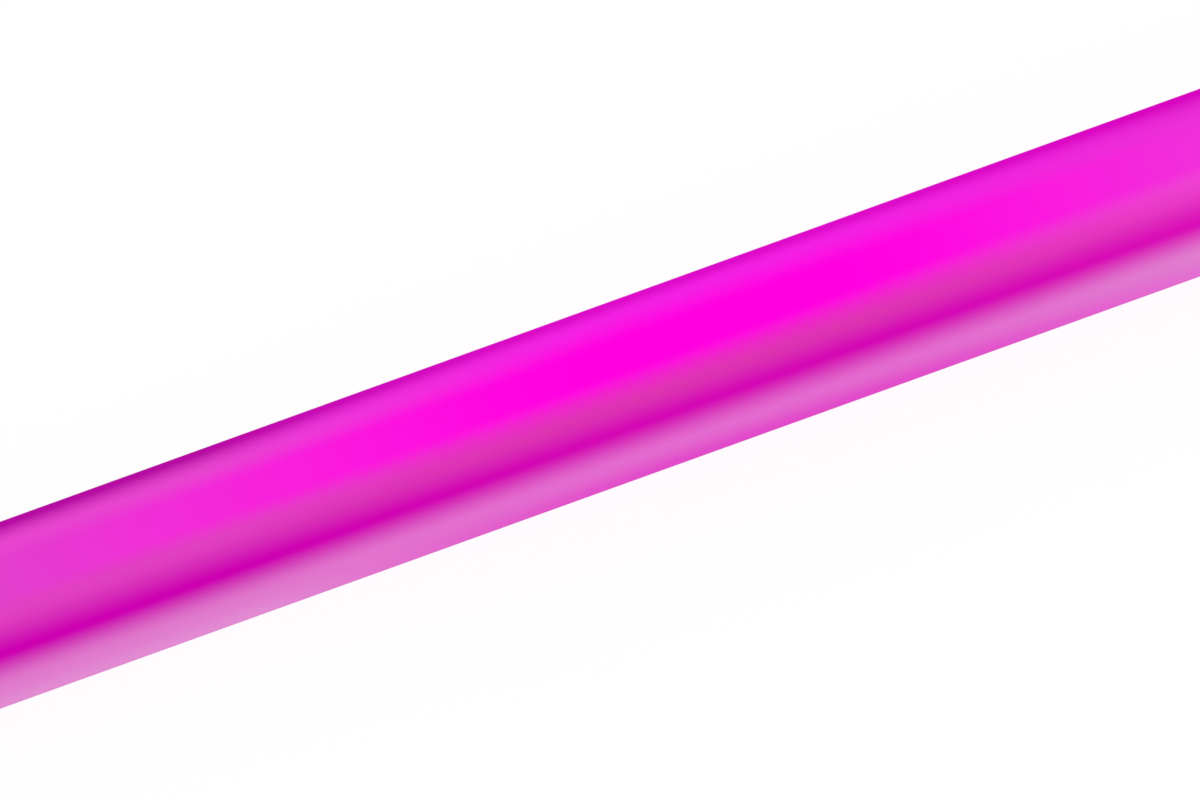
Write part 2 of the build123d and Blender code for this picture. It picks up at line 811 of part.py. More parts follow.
def key(point):
    """A key: domed cap through the fascia, a flange behind it, and a stem over its switch."""
    spot = Pos(*point)
    stem_end = board_face + switch_height + switch_gap + key_travel
    cap = front_prism(spot * Circle(key_d / 2), fascia_back - key_flange_thickness, fascia_face + key_proud)
    cap = fillet(cap.faces().sort_by(Axis.Y)[0].edges(), key_edge_radius)
    flange = front_prism(spot * Circle(key_flange_d / 2), fascia_back - key_flange_thickness, fascia_back)
    stem = front_prism(spot * Circle(key_stem_d / 2), stem_end, fascia_back - key_flange_thickness)
    return cap + flange + stem


def key_switches():
    """One push switch on the control board behind each key."""
    body = [Pos(*point) * Rectangle(switch_size, switch_size) for point in key_points()]
    return [front_prism(b, board_face, board_face + switch_height) for b in body]


def shaft_section(clearance):
    """A round shaft with one flat, larger by a clearance all round."""
    radius = shaft_d / 2 + clearance
    cut = Pos(0, radius - shaft_flat) * Rectangle(4 * radius, 2 * radius, align=(Align.CENTER, Align.MIN))
    return Pos(fascia_x + dial_centre, 0) * (Circle(radius) - cut)


def encoder_body():
    """The rotary encoder on the control board, bored for its shaft."""
    centre = Pos(fascia_x + dial_centre, 0)
    bottom, top = board_face, board_face + encoder_height
    body = front_prism(centre * Rectangle(encoder_size, encoder_size), bottom, top)
    return body - front_prism(centre * Circle(shaft_d / 2 + shaft_fit), bottom + shaft_seat, top)


def encoder_shaft():
    """Round in the encoder, with a flat where the dial grips it."""
    top = fascia_face + dial_gap + dial_thickness - dial_cap
    grip = fascia_face + dial_gap
    centre = Pos(fascia_x + dial_centre, 0)
    shaft = front_prism(centre * Circle(shaft_d / 2), board_face + shaft_seat, grip)
    return shaft + front_prism(shaft_section(0), grip, top)


def dimmer_dial():
    """A low dial with a scalloped rim, a dished top and a pointer groove."""
    centre = Pos(fascia_x + dial_centre, 0)
    bottom, top = fascia_face + dial_gap, fascia_face + dial_gap + dial_thickness
    dial = front_prism(centre * Circle(dial_d / 2), bottom, top)
    dial = chamfer(dial.faces().sort_by(Axis.Y)[0].edges(), dial_dish_depth)
    scallops = PolarLocations(dial_d / 2 + dial_scallop_d / 4, dial_scallops)
    cuts = centre * (Sketch() + [spot * Circle(dial_scallop_d / 2) for spot in scallops])
    dial -= front_prism(cuts, bottom, top)
    dial -= front_prism(centre * Circle(dial_dish_d / 2), top - dial_dish_depth, top)
    pointer = centre * Pos(0, dial_dish_d / 4) * Rectangle(dial_scallop_d, dial_dish_d / 2)
    dial -= front_prism(pointer, top - 1.5 * dial_dish_depth, top)
    return dial - front_prism(shaft_section(shaft_fit), bottom, top - dial_cap)


def control_board():
    centre = Pos(pad_x + pad_length / 2, 0)
    outline = centre * Rectangle(pad_length - 2 * control_board_inset, control_board_height)
    outline -= discs(control_screw_points(), small_screw_d + screw_clearance)
    return front_prism(outline, board_back, board_face)


def control_board_screws():
    one = screw(small_screw_d, small_screw_length, small_screw_head_d, small_screw_head_height)
    turned = Rot(0, 0, 90) * one
    return [Pos(x, -board_back, z) * turned for x, z in control_screw_points()]


def board_components():
    """Chips, coil and lead sockets on the back of the control board."""
    lead_heights = (cell_z + lead_pitch / 2, board_top, 0, 0, 0)
    parts = []
    for (length, height, stand), x, z in zip(component_row, component_x, lead_heights):
        reach = (control_board_height - height) / 2
        outline = Pos(x, max(-reach, min(reach, z))) * Rectangle(length, height)
        parts.append(front_prism(outline, board_back - stand, board_back))
    return parts


# ---------------------------------------------------------------- charging socket, in end coordinates


def flap_outline(margin):
    """The flap and its anchor together, larger by a margin all round."""
    length = flap_length + anchor_length + flap_seam
    middle = flap_hinge_x + (flap_length - anchor_length) / 2
    return rounded_bar(length + 2 * margin, flap_height + 2 * margin, flap_corner_radius, (middle, 0))


def flap_half(low_x, high_x):
    """The stretch of the flap's outline between two places along X."""
    strip = Pos((low_x + high_x) / 2, 0) * Rectangle(high_x - low_x, 2 * flap_height)
    return flap_outline(0) & strip


def port_cover():
    """The rubber flap, with a plug on its inside that fills the socket's mouth."""
    start = flap_hinge_x + flap_seam / 2
    flap = back_prism(flap_half(start, start + 2 * flap_length), flap_seat, front_flat)
    plug = SlotOverall(receptacle_width, receptacle_height)
    return flap + back_prism(Pos(charge_x, 0) * plug, flap_seat - plug_depth, flap_seat)


def anchor_peg_point():
    return (flap_hinge_x - (anchor_length + flap_seam) / 2, 0)


def port_cover_anchor():
    """The flap's fixed tail, with a peg pressed into the housing."""
    end = flap_hinge_x - flap_seam / 2
    tail = back_prism(flap_half(end - 2 * anchor_length, end), flap_seat, front_flat)
    peg = Pos(*anchor_peg_point()) * Circle(anchor_peg_d / 2)
    return tail + back_prism(peg, flap_seat - anchor_peg_length, flap_seat)


def charge_board():
    outline = Pos(charge_x, 0) * Rectangle(charge_board_length, charge_board_height)
    outline -= discs(charge_screw_points(), small_screw_d + screw_clearance)
    return back_prism(outline, charge_board_face - charge_board_thickness, charge_board_face)


def charge_board_screws():
    one = screw(small_screw_d, small_screw_length, small_screw_head_d, small_screw_head_height)
    turned = Rot(0, 0, -90) * one
    seat = charge_board_face - charge_board_thickness
    return [Pos(x, seat, z) * turned for x, z in charge_screw_points()]


def charge_receptacle():
    """A folded metal socket with a tongue inside it, standing on its board."""
    centre = Pos(charge_x, 0)
    shell = centre * SlotOverall(receptacle_width, receptacle_height)
    inner_width, inner_height = (size - 2 * receptacle_shell for size in (receptacle_width, receptacle_height))
    hollow = centre * SlotOverall(inner_width, inner_height)
    floor = receptacle_mouth_y - receptacle_mouth_depth
    body = back_prism(shell, charge_board_face, receptacle_mouth_y)
    body -= back_prism(hollow, floor, receptacle_mouth_y)
    tongue = centre * Rectangle(tongue_width, tongue_thickness)
    return body + back_prism(tongue, floor, receptacle_mouth_y - 1)


# ---------------------------------------------------------------- write every sub-part

write("diffuser_tube", diffuser_tube())
write("spine", spine())
for number in range(board_count):
    write(f"led_board_{number + 1}", led_board(number))
    write(f"led_packages_{number + 1}", *led_packages(number))
write("board_links", *board_links())
write("battery_cells", *battery_cells())
write("cell_spacers", *cell_spacers())
write("battery_stop_far", battery_stop(far_seat_x))
write("battery_stop_control", battery_stop(control_seat_x - stop_length))
write("battery_leads", *map(at_control, battery_leads()))
write("led_leads", *map(at_control, led_leads()))

for end_name, place, cap_length in (
    ("far", at_far, far_cap_length),
    ("control", at_control, control_cap_length),
):
    write(f"{end_name}_tube_seal", place(tube_seal()))
    write(f"{end_name}_spine_screws", *map(place, spine_screws()))
    write(f"{end_name}_end_plate", place(end_plate(cap_length)))
    write(f"{end_name}_insert", place(insert(cap_length)))
    write(f"{end_name}_plate_screws", *map(place, plate_screws(cap_length)))
    write(f"{end_name}_bumper", place(bumper(cap_length)))
    write(f"{end_name}_bail", place(bail(cap_length)))

write("far_cap", at_far(far_cap()))
write("control_housing", at_control(control_housing()))
write("control_fascia", at_control(control_fascia()))
write("display_window", at_control(display_window()))
write("display_module", at_control(display_module()))
for key_name, spot in zip(("back_key", "menu_key", "mode_key", "power_key"), key_points()):
    write(key_name, at_control(key(spot)))
write("key_switches", *map(at_control, key_switches()))
write("encoder_body", at_control(encoder_body()))
write("encoder_shaft", at_control(encoder_shaft()))
write("dimmer_dial", at_control(dimmer_dial()))
write("control_board", at_control(control_board()))
write("control_board_screws", *map(at_control, control_board_screws()))
write("board_components", *map(at_control, board_components()))
write("charge_board", at_control(charge_board()))
write("charge_board_screws", *map(at_control, charge_board_screws()))
write("charge_receptacle", at_control(charge_receptacle()))
write("port_cover", at_control(port_cover()))
write("port_cover_anchor", at_control(port_cover_anchor()))
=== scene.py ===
"""Looks for the LED light tube.

The lit opal diffuser, the moulded, rubber and metal finishes, the marks and the stage.
"""

import math

import bmesh
import bpy
from bpy.props import FloatProperty, FloatVectorProperty, IntProperty, PointerProperty
from mathutils import Matrix, Vector


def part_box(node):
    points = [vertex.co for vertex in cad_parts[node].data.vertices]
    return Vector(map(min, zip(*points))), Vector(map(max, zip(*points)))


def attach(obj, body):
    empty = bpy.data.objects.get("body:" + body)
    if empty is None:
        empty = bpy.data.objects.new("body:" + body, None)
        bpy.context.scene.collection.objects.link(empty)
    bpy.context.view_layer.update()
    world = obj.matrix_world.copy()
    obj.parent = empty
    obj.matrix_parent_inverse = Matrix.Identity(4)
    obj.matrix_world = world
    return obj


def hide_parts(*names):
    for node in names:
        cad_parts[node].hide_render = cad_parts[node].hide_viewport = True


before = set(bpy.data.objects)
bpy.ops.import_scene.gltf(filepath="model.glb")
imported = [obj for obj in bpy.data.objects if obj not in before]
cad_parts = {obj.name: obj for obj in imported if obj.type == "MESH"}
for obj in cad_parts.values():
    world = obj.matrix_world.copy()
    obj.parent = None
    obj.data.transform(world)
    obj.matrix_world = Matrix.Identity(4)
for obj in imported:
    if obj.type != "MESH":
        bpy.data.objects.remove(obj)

bl_info = {
    "name": "LED light tube",
    "version": (1, 0, 0),
    "blender": (4, 5, 0),
    "location": "3D View > Sidebar > Light Tube",
    "description": "Dresses the packed LED light tube and sets up its stage",
    "category": "Object",
}

MM = 0.001
WHITE = (1, 1, 1)
UPRIGHT = (0, math.pi / 2, 0)  # turns what is built along Z to run along X
SMOOTH_UNDER = math.radians(35)
ROUND_FROM = 24  # a ring with this many corners or more counts as round
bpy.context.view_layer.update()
TUBE_LOW, TUBE_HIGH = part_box("diffuser_tube")
AXIS_Z = (TUBE_LOW.z + TUBE_HIGH.z) / 2
TUBE_RADIUS = (TUBE_HIGH.z - TUBE_LOW.z) / 2
TUBE_BORE = min(math.hypot(v.co.y, v.co.z - AXIS_Z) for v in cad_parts["diffuser_tube"].data.vertices)
BARE_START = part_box("far_cap")[1].x
BARE_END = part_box("control_housing")[0].x
BARE_MIDDLE = (BARE_START + BARE_END) / 2


def face_middle(node):
    """The middle of a node's box, seen from the front, as (X, Z)."""
    low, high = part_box(node)
    return (low.x + high.x) / 2, (low.z + high.z) / 2


def wing_angle():
    """The angle from straight up to the tips of the spine's trough, which stop the light."""
    spine = [(abs(v.co.y), v.co.z - AXIS_Z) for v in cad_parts["spine"].data.vertices]
    outer = 0.98 * max(math.hypot(*place) for place in spine)
    return min(math.atan2(*place) for place in spine if math.hypot(*place) > outer)


def linear(hex_colour):
    """The linear colour of a six-digit hex one."""
    channels = [int(hex_colour[i : i + 2], 16) / 255 for i in (0, 2, 4)]
    return tuple(c / 12.92 if c <= 0.04045 else ((c + 0.055) / 1.055) ** 2.4 for c in channels)


# ---------------- settings


def setting(name, description, default, **kind):
    return FloatProperty(name=name, description=description, default=default, **kind)


def length_setting(name, description, default):
    return setting(name, description, default, subtype="DISTANCE", unit="LENGTH")


def angle_setting(name, description, degrees):
    return setting(name, description, math.radians(degrees), subtype="ANGLE")


def share_setting(name, description, default):
    return setting(name, description, default, min=0, max=1)


def power_setting(name, description, default):
    return setting(name, description, default, min=0.5)


def camera_setting(name, description, default):
    return setting(name, description, default, min=1, subtype="DISTANCE_CAMERA")


def colour_setting(name, description, default):
    return FloatVectorProperty(
        name=name, description=description, default=linear(default), subtype="COLOR", size=3, min=0, max=1
    )


# Bands painted into the diffuser's glow and fixed to the tube: painted light over the LEDs, painted shadows
# of the wings, and painted pale light below the wings and round the underside.
LIGHT_BANDS = {
    "core": "Over the LEDs",
    "front_flank": "Between the LEDs and the front wing's shadow",
    "rear_flank": "Between the LEDs and the rear wing's shadow",
    "front_shadow": "In the front wing's shadow",
    "rear_shadow": "In the rear wing's shadow",
    "under": "Just below the wings",
    "deep": "Round the underside",
}


def light_at(name, place, flank, shade, **colours):
    """The settings for the diffuser's light at one place along it."""
    settings = {
        "flank": angle_setting("Flanks", f"Where the flanks have their full colour, {place}", flank),
        "shade": angle_setting("Shade", f"Where the light starts to fall off, {place}", shade),
    }
    for band, colour in colours.items():
        label = band.replace("_", " ").capitalize()
        settings[band] = colour_setting(label, f"{LIGHT_BANDS[band]}, {place}", colour)
    contents = {"__doc__": f"The light {place}.", "__annotations__": settings}
    return type(name, (bpy.types.PropertyGroup,), contents)


MiddleLight = light_at(
    "MiddleLight", "in the middle", flank=34, shade=30,
    core="FF00E0", front_flank="DC34B0", rear_flank="F420E4",
    front_shadow="D408B4", rear_shadow="E00CCC", under="E46CD0", deep="E44CCC",
)
PlainLight = light_at(
    "PlainLight", "at the plain end", flank=25, shade=22,
    core="E040CC", front_flank="E040C0", rear_flank="E844D0",
    front_shadow="CC00B0", rear_shadow="B80CA4", under="E078CC", deep="E48CD4",
)
ControlLight = light_at(
    "ControlLight", "by the controls", flank=24, shade=20,
    core="EC34D8", front_flank="F044D4", rear_flank="E830D4",
    front_shadow="DC10B8", rear_shadow="D804C0", under="E084D0", deep="E87CD8",
)


class GlowSettings(bpy.types.PropertyGroup):
    """How the diffuser is lit. Angles are from straight over the LEDs, round to the front or the rear."""

    strength: share_setting("Emitted share", "Share of the diffuser's look that it emits", 0.68)
    # The reflected share also puts the painted glow, with its painted shadows and painted fall-off, into the
    # plastic's base colour.
    body: share_setting("Reflected share", "Share that comes from the plastic's own colour", 0.36)
    core_front: angle_setting("Core, front", "Where the core ends towards the front", 11)
    core_rear: angle_setting("Core, rear", "Where the core ends towards the rear", 7)
    wing: angle_setting("Wings", "Where the wings' shadows are darkest", math.degrees(wing_angle()) + 2)
    under: angle_setting("Under", "Where the light below the front wing has its full colour", 74)
    rear_drop: angle_setting("Rear drop", "How much further round the light starts below the rear wing", 8)
    # The underside's colour is painted pale light.
    deep_start: angle_setting("Underside, start", "Where the underside's colour starts", 70)
    deep_end: angle_setting("Underside, end", "Where the underside has its full colour", 98)
    far_hold: length_setting("Far hold", "Evenly lit length from the middle to the plain side", 0.012)
    far_fade: length_setting("Far fade", "Length of the fade towards the plain end", 0.112)
    control_hold: length_setting("Control hold", "Evenly lit length on the controls' side", 0.025)
    control_fade: length_setting("Control fade", "Length of the fade towards the controls", 0.112)
    fade_power: power_setting("Fade power", "How late the fades set in: 1 is even, and more is later", 1.75)
    far_core_fade: length_setting("Far core fade", "Length of the core's fade towards the plain end", 0.17)
    control_core_fade: length_setting("Control core fade", "Length of the core's fade to the controls", 0.112)
    core_power: power_setting("Core fade power", "How late the core's own fades set in", 2.2)
    cap_shade: length_setting("Cap shade", "Length over which the light falls off beside a cap", 0.016)
    cap_light: share_setting("Cap light", "Share of the light that is left right beside a cap", 0.55)
    facets: IntProperty(name="Facets", description="Facets round the tube", default=160, min=24, max=512)


class FinishSettings(bpy.types.PropertyGroup):
    """Colours of the pieces round the diffuser."""

    housing: colour_setting("Housing", "Moulded caps and end plates", "1D1D20")
    rubber: colour_setting("Rubber", "Bumpers and port cover", "161617")
    key: colour_setting("Keys", "Silicone keys", "2E2E31")
    fascia: colour_setting("Fascia", "Gloss panel round the controls", "060607")
    ink: colour_setting("Print", "Marks on the fascia and the keys", "D8D8D4")
    steel: colour_setting("Steel", "Bails and shafts", "C9C9CB")
    brass: colour_setting("Brass", "Tripod inserts", "D9B366")
    dial: colour_setting("Dial", "Anodised dial", "222226")
    digits: colour_setting("Characters", "Lit characters on the display", "DDF2FF")
    edge_radius: length_setting("Edge radius", "Rounding of the moulded edges", 0.25 * MM)
    bumper_wall: length_setting("Bumper wall", "Thickness of a bumper", 2.9 * MM)
    bumper_corner: length_setting("Bumper corner", "Rounding of a bumper's eight corners", 3.0 * MM)
    bumper_edge: length_setting("Bumper edge", "Rounding of a bumper's edges", 1.2 * MM)
    groove_depth: length_setting("Groove depth", "Depth of the grooves round a bumper", 0.35 * MM)
    groove_pitch: length_setting("Groove pitch", "Distance between the grooves round a bumper", 1.6 * MM)
    thread_radius: length_setting("Thread radius", "Radius of the tripod thread's ridge", 3.28 * MM)
    thread_pitch: length_setting("Thread pitch", "Pitch of the tripod thread", 1.27 * MM)
    thread_depth: length_setting("Thread depth", "Depth of the tripod thread", 0.5 * MM)


class StageSettings(bpy.types.PropertyGroup):
    """Camera, lamps and floor."""

    elevation: angle_setting("Elevation", "Camera's height above the horizon", 66)
    turn: angle_setting("Turn", "Camera's turn towards the controls", 3.1)
    slope: angle_setting("Slope", "Slope of the tube across the view", 19.83)
    width: length_setting("Width", "Width of the view at the tube", 0.2922)
    aim: length_setting("Aim", "From the middle to the view's centre, towards the plain end", 0.028)
    drop: length_setting("Drop", "From the tube's axis down to the view's centre", 0.00027)
    lens: camera_setting("Lens", "Focal length", 200)
    sensor: camera_setting("Sensor", "Sensor width", 36)
    ambient: setting("Ambient", "Strength of the even light", 0.72, min=0)
    backdrop: share_setting("Backdrop", "How far the floor shows as plain white", 0.88)


# ---------------- materials


class Nodes:
    """A node tree in the making. A value is a plain one or another node's socket."""

    def __init__(self, tree):
        self.tree = tree

    def connect(self, socket, value):
        """Links a value that is a socket, and stores one that isn't."""
        if isinstance(value, bpy.types.NodeSocket):
            self.tree.links.new(value, socket)
        elif socket.type == "RGBA":
            socket.default_value = (*value, 1)
        else:
            socket.default_value = value

    def add(self, kind, values=None, **settings):
        """Adds a node. values maps a socket's name or number to its value."""
        node = self.tree.nodes.new(kind)
        for key, value in settings.items():
            setattr(node, key, value)
        for key, value in (values or {}).items():
            self.connect(node.inputs[key], value)
        return node

    def maths(self, operation, *values, clamp=False):
        values = dict(enumerate(values))
        return self.add("ShaderNodeMath", values, operation=operation, use_clamp=clamp).outputs["Value"]


class Finish(Nodes):
    """A material in the making, round one principled shader."""

    def __init__(self, name, **values):
        self.material = bpy.data.materials.new(name)
        self.material.use_nodes = True
        super().__init__(self.material.node_tree)
        self.shader = self.tree.nodes["Principled BSDF"]
        self.place = self.add("ShaderNodeTexCoord").outputs["Object"]
        for socket, value in values.items():
            self.set(socket.replace("_", " "), value)

    def set(self, socket, value):
        self.connect(self.shader.inputs[socket], value)
        return self

    def step(self, value, start, end):
        """Runs smoothly from 0 to 1 between two values."""
        sizes = {"Value": value, "From Min": start, "From Max": end}
        return self.add("ShaderNodeMapRange", sizes, interpolation_type="SMOOTHSTEP").outputs["Result"]

    def mix(self, share, first, second, blend="MIX"):
        node = self.add("ShaderNodeMix", data_type="RGBA", blend_type=blend)
        for name, value in (("Factor_Float", share), ("A_Color", first), ("B_Color", second)):
            self.connect(next(socket for socket in node.inputs if socket.identifier == name), value)
        return next(socket for socket in node.outputs if socket.identifier == "Result_Color")

    def noise(self, scale, detail=2.0, stretch=(1, 1, 1)):
        place = self.add("ShaderNodeMapping", {"Vector": self.place, "Scale": stretch}).outputs["Vector"]
        node = self.add("ShaderNodeTexNoise", {"Vector": place, "Scale": scale, "Detail": detail})
        return node.outputs["Fac"]

    def ramp(self, factor, stops, interpolation="LINEAR"):
        """A colour ramp. Each stop is (position, colour or grey)."""
        node = self.add("ShaderNodeValToRGB", {"Fac": factor})
        node.color_ramp.interpolation = interpolation
        elements = node.color_ramp.elements
        while len(elements) < len(stops):
            elements.new(0.5)
        for element, (position, _) in zip(elements, stops):
            element.position = position
        for element, (_, colour) in zip(elements, stops):
            element.color = (*((colour,) * 3 if isinstance(colour, (int, float)) else colour), 1)
        return node.outputs["Color"]

    def mottle(self, colour, scale, spread, stretch=(1, 1, 1)):
        """Base colour that varies a little, lighter and darker, with the noise."""
        dark = tuple(c * (1 - spread) for c in colour)
        light = tuple(min(1, c * (1 + spread)) for c in colour)
        stops = ((0.3, dark), (0.7, light))
        return self.set("Base Color", self.ramp(self.noise(scale, 3.0, stretch), stops))

    def rough(self, low, high, scale, stretch=(1, 1, 1)):
        """Roughness that runs between two values with the noise."""
        factor = self.noise(scale, 2.0, stretch)
        return self.set("Roughness", self.ramp(factor, ((0.3, low), (0.7, high))))

    def bump(self, height, distance, strength=1.0):
        node = self.add("ShaderNodeBump", {"Height": height, "Distance": distance, "Strength": strength})
        return self.set("Normal", node.outputs["Normal"])

    def rings(self, axis, centre, scale):
        """Fine turned lines round an axis through a centre."""
        shift = tuple(-c for c in centre)
        place = self.add("ShaderNodeMapping", {"Vector": self.place, "Location": shift}).outputs["Vector"]
        values = {"Vector": place, "Scale": scale, "Distortion": 1.5, "Detail": 2.0, "Detail Scale": 2.0}
        wave = self.add("ShaderNodeTexWave", values, wave_type="RINGS", rings_direction=axis)
        return wave.outputs["Fac"]


def grained_plastic(name, colour, grain=2600, depth=0.030 * MM, roughness=(0.50, 0.58)):
    """Moulded plastic with a spark-eroded grain."""
    finish = Finish(name, Specular_IOR_Level=0.4).mottle(colour, 260, 0.07)
    finish.rough(*roughness, 1400)
    coarse = finish.noise(grain, 3.0)
    fine = finish.noise(grain * 2.7)
    height = finish.maths("ADD", finish.maths("MULTIPLY", coarse, 0.7), finish.maths("MULTIPLY", fine, 0.3))
    return finish.bump(height, depth).material


def rubber(name, colour):
    """Soft rubber, duller than the plastic and a little dusty."""
    finish = Finish(name, Specular_IOR_Level=0.3, Sheen_Weight=0.12, Sheen_Roughness=0.6)
    finish.mottle(colour, 160, 0.22).rough(0.68, 0.84, 500)
    return finish.bump(finish.noise(3800), 0.015 * MM).material


def drawn_steel(name, colour):
    """Polished wire with faint draw marks and handling haze."""
    finish = Finish(name, Metallic=1.0).mottle(colour, 300, 0.05).rough(0.16, 0.30, 420)
    return finish.bump(finish.noise(5200), 0.004 * MM).material


def turned_metal(name, colour, axis, centre):
    """Metal with the fine rings that a lathe leaves."""
    finish = Finish(name, Metallic=1.0).mottle(colour, 400, 0.06).rough(0.2, 0.34, 900)
    return finish.bump(finish.rings(axis, centre, 1500), 0.004 * MM, 0.6).material


def extruded(name, colour):
    """Anodised aluminium, with its grain stretched along X, the way it was drawn."""
    stretch = (0.05, 1, 1)
    finish = Finish(name, Metallic=1.0).mottle(colour, 260, 0.08, stretch).rough(0.3, 0.42, 800, stretch)
    return finish.bump(finish.noise(2400, 2.0, stretch), 0.006 * MM).material


def black_screw(name):
    finish = Finish(name, Metallic=0.85).mottle(linear("2A2A2C"), 900, 0.25).rough(0.28, 0.46, 1500)
    return finish.bump(finish.noise(6000), 0.004 * MM).material


def gloss_panel(name, colour):
    """Gloss black sheet with faint hairlines and smears."""
    finish = Finish(name, Specular_IOR_Level=0.42).mottle(colour, 60, 0.1)
    finish.rough(0.10, 0.18, 130, (1, 1, 3))
    return finish.bump(finish.noise(120, 1.0), 0.003 * MM).material


def clear_window(name):
    """Smoked clear plastic."""
    finish = Finish(name, Transmission_Weight=1.0, IOR=1.49).mottle(linear("8E949C"), 50, 0.04)
    return finish.rough(0.02, 0.06, 200).material


def ink(name, colour):
    """Screen-printed ink, slightly uneven."""
    finish = Finish(name, Specular_IOR_Level=0.3).mottle(colour, 1400, 0.05)
    return finish.rough(0.5, 0.64, 900).material


def lit_characters(name, colour, strength):
    """A display's lit characters, with the fine rows that they are made of."""
    finish = Finish(name, Roughness=0.5, Emission_Strength=strength)
    rows = finish.add(
        "ShaderNodeTexWave", {"Vector": finish.place, "Scale": 900, "Distortion": 0.0}, bands_direction="Z"
    ).outputs["Fac"]
    lit = finish.ramp(rows, ((0.0, tuple(0.82 * c for c in colour)), (0.5, colour)))
    return finish.set("Base Color", (0.02, 0.02, 0.02)).set("Emission Color", lit).material


def circuit_board(name, mask, copper):
    """Solder mask over a fine pattern of tracks."""
    finish = Finish(name, Specular_IOR_Level=0.5)
    cells = finish.add(
        "ShaderNodeTexVoronoi", {"Vector": finish.place, "Scale": 420}, feature="DISTANCE_TO_EDGE"
    ).outputs["Distance"]
    tracks = finish.ramp(cells, ((0.05, copper), (0.09, mask)))
    finish.set("Base Color", tracks).rough(0.25, 0.4, 500)
    return finish.bump(cells, 0.02 * MM, 0.3).material


def moulded_part(name, colour, roughness=(0.4, 0.55)):
    """Small plain mouldings, sleeves, foam and wire covers."""
    finish = Finish(name, Specular_IOR_Level=0.4).mottle(colour, 300, 0.12).rough(*roughness, 900)
    return finish.bump(finish.noise(3500), 0.01 * MM).material


def folded_steel(name):
    """Bright plated sheet with fine rolling marks."""
    finish = Finish(name, Metallic=1.0).mottle(linear("CFCFD1"), 800, 0.05).rough(0.22, 0.34, 1200, (1, 1, 6))
    return finish.bump(finish.noise(4000, 2.0, (1, 1, 6)), 0.003 * MM).material


def opal_glow(glow, middle, plain, controls):
    """Opal plastic lit from inside: colour follows the angle round the LEDs and the distance to the caps."""
    finish = Finish("opal_glow", Specular_IOR_Level=0.0, Emission_Strength=glow.strength)
    xyz = finish.add("ShaderNodeSeparateXYZ", {"Vector": finish.place}).outputs
    rear = finish.maths("ARCTAN2", xyz["Y"], finish.maths("SUBTRACT", xyz["Z"], AXIS_Z))
    front = finish.maths("MULTIPLY", rear, -1.0)
    below_front = finish.step(front, glow.wing, glow.under)
    below_rear = finish.step(rear, glow.wing + glow.rear_drop, glow.under + glow.rear_drop)
    below = finish.maths("ADD", below_front, below_rear)
    deep = finish.step(finish.maths("ABSOLUTE", rear), glow.deep_start, glow.deep_end)

    along = finish.maths("SUBTRACT", xyz["X"], BARE_MIDDLE)

    def towards(sign, hold, fade, power):
        """How much of an end's light shows: 0 up to the hold, and 1 from the end of the fade."""
        reach = finish.maths("MULTIPLY_ADD", along, sign / fade, -hold / fade, clamp=True)
        return finish.maths("POWER", reach, power)

    # The core fades on its own, later than the bands beside it.
    far_core = towards(-1, glow.far_hold, glow.far_core_fade, glow.core_power)
    control_core = towards(1, glow.control_hold, glow.control_core_fade, glow.core_power)
    core = finish.mix(far_core, middle.core, plain.core)
    core = finish.mix(control_core, core, controls.core)

    def round_tube(light):
        """The light at one place along the tube. Each band takes over from those before it."""
        lit = core
        for share, colour in (
            (finish.step(front, glow.core_front, light.flank), light.front_flank),
            (finish.step(rear, glow.core_rear, light.flank), light.rear_flank),
            (finish.step(front, light.shade, glow.wing), light.front_shadow),
            (finish.step(rear, light.shade, glow.wing), light.rear_shadow),
            (below, light.under),
            (deep, light.deep),
        ):
            lit = finish.mix(share, lit, colour)
        return lit

    lit = round_tube(middle)
    for light, sign, hold, fade in (
        (plain, -1, glow.far_hold, glow.far_fade),
        (controls, 1, glow.control_hold, glow.control_fade),
    ):
        lit = finish.mix(towards(sign, hold, fade, glow.fade_power), lit, round_tube(light))

    # The light falls off beside each cap.
    from_middle = finish.maths("ABSOLUTE", along)
    half = (BARE_END - BARE_START) / 2
    scale = 1 / glow.cap_shade
    near = finish.maths("MULTIPLY_ADD", from_middle, scale, 1 - half * scale, clamp=True)
    shade = finish.ramp(near, ((0.0, 1.0), (0.6, 0.86), (1.0, glow.cap_light)), "EASE")
    lit = finish.mix(1.0, lit, shade, "MULTIPLY")

    # The base colour is the painted glow at the reflected share: painted light and painted shade in the
    # plastic's own colour.
    finish.set("Base Color", finish.mix(glow.body, (0, 0, 0), lit)).set("Emission Color", lit)
    return finish.rough(0.40, 0.52, 90).material


# ---------------- meshes


def link(obj):
    bpy.context.scene.collection.objects.link(obj)
    return obj


def mesh_piece(name, mesh, material, body="light", replaced=()):
    """A finished piece with one material, riding on its CAD body in place of the nodes it replaces."""
    obj = link(bpy.data.objects.new(name, mesh))
    mesh.materials.clear()
    mesh.materials.append(material)
    if replaced:
        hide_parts(*replaced)
    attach(obj, body)
    return obj


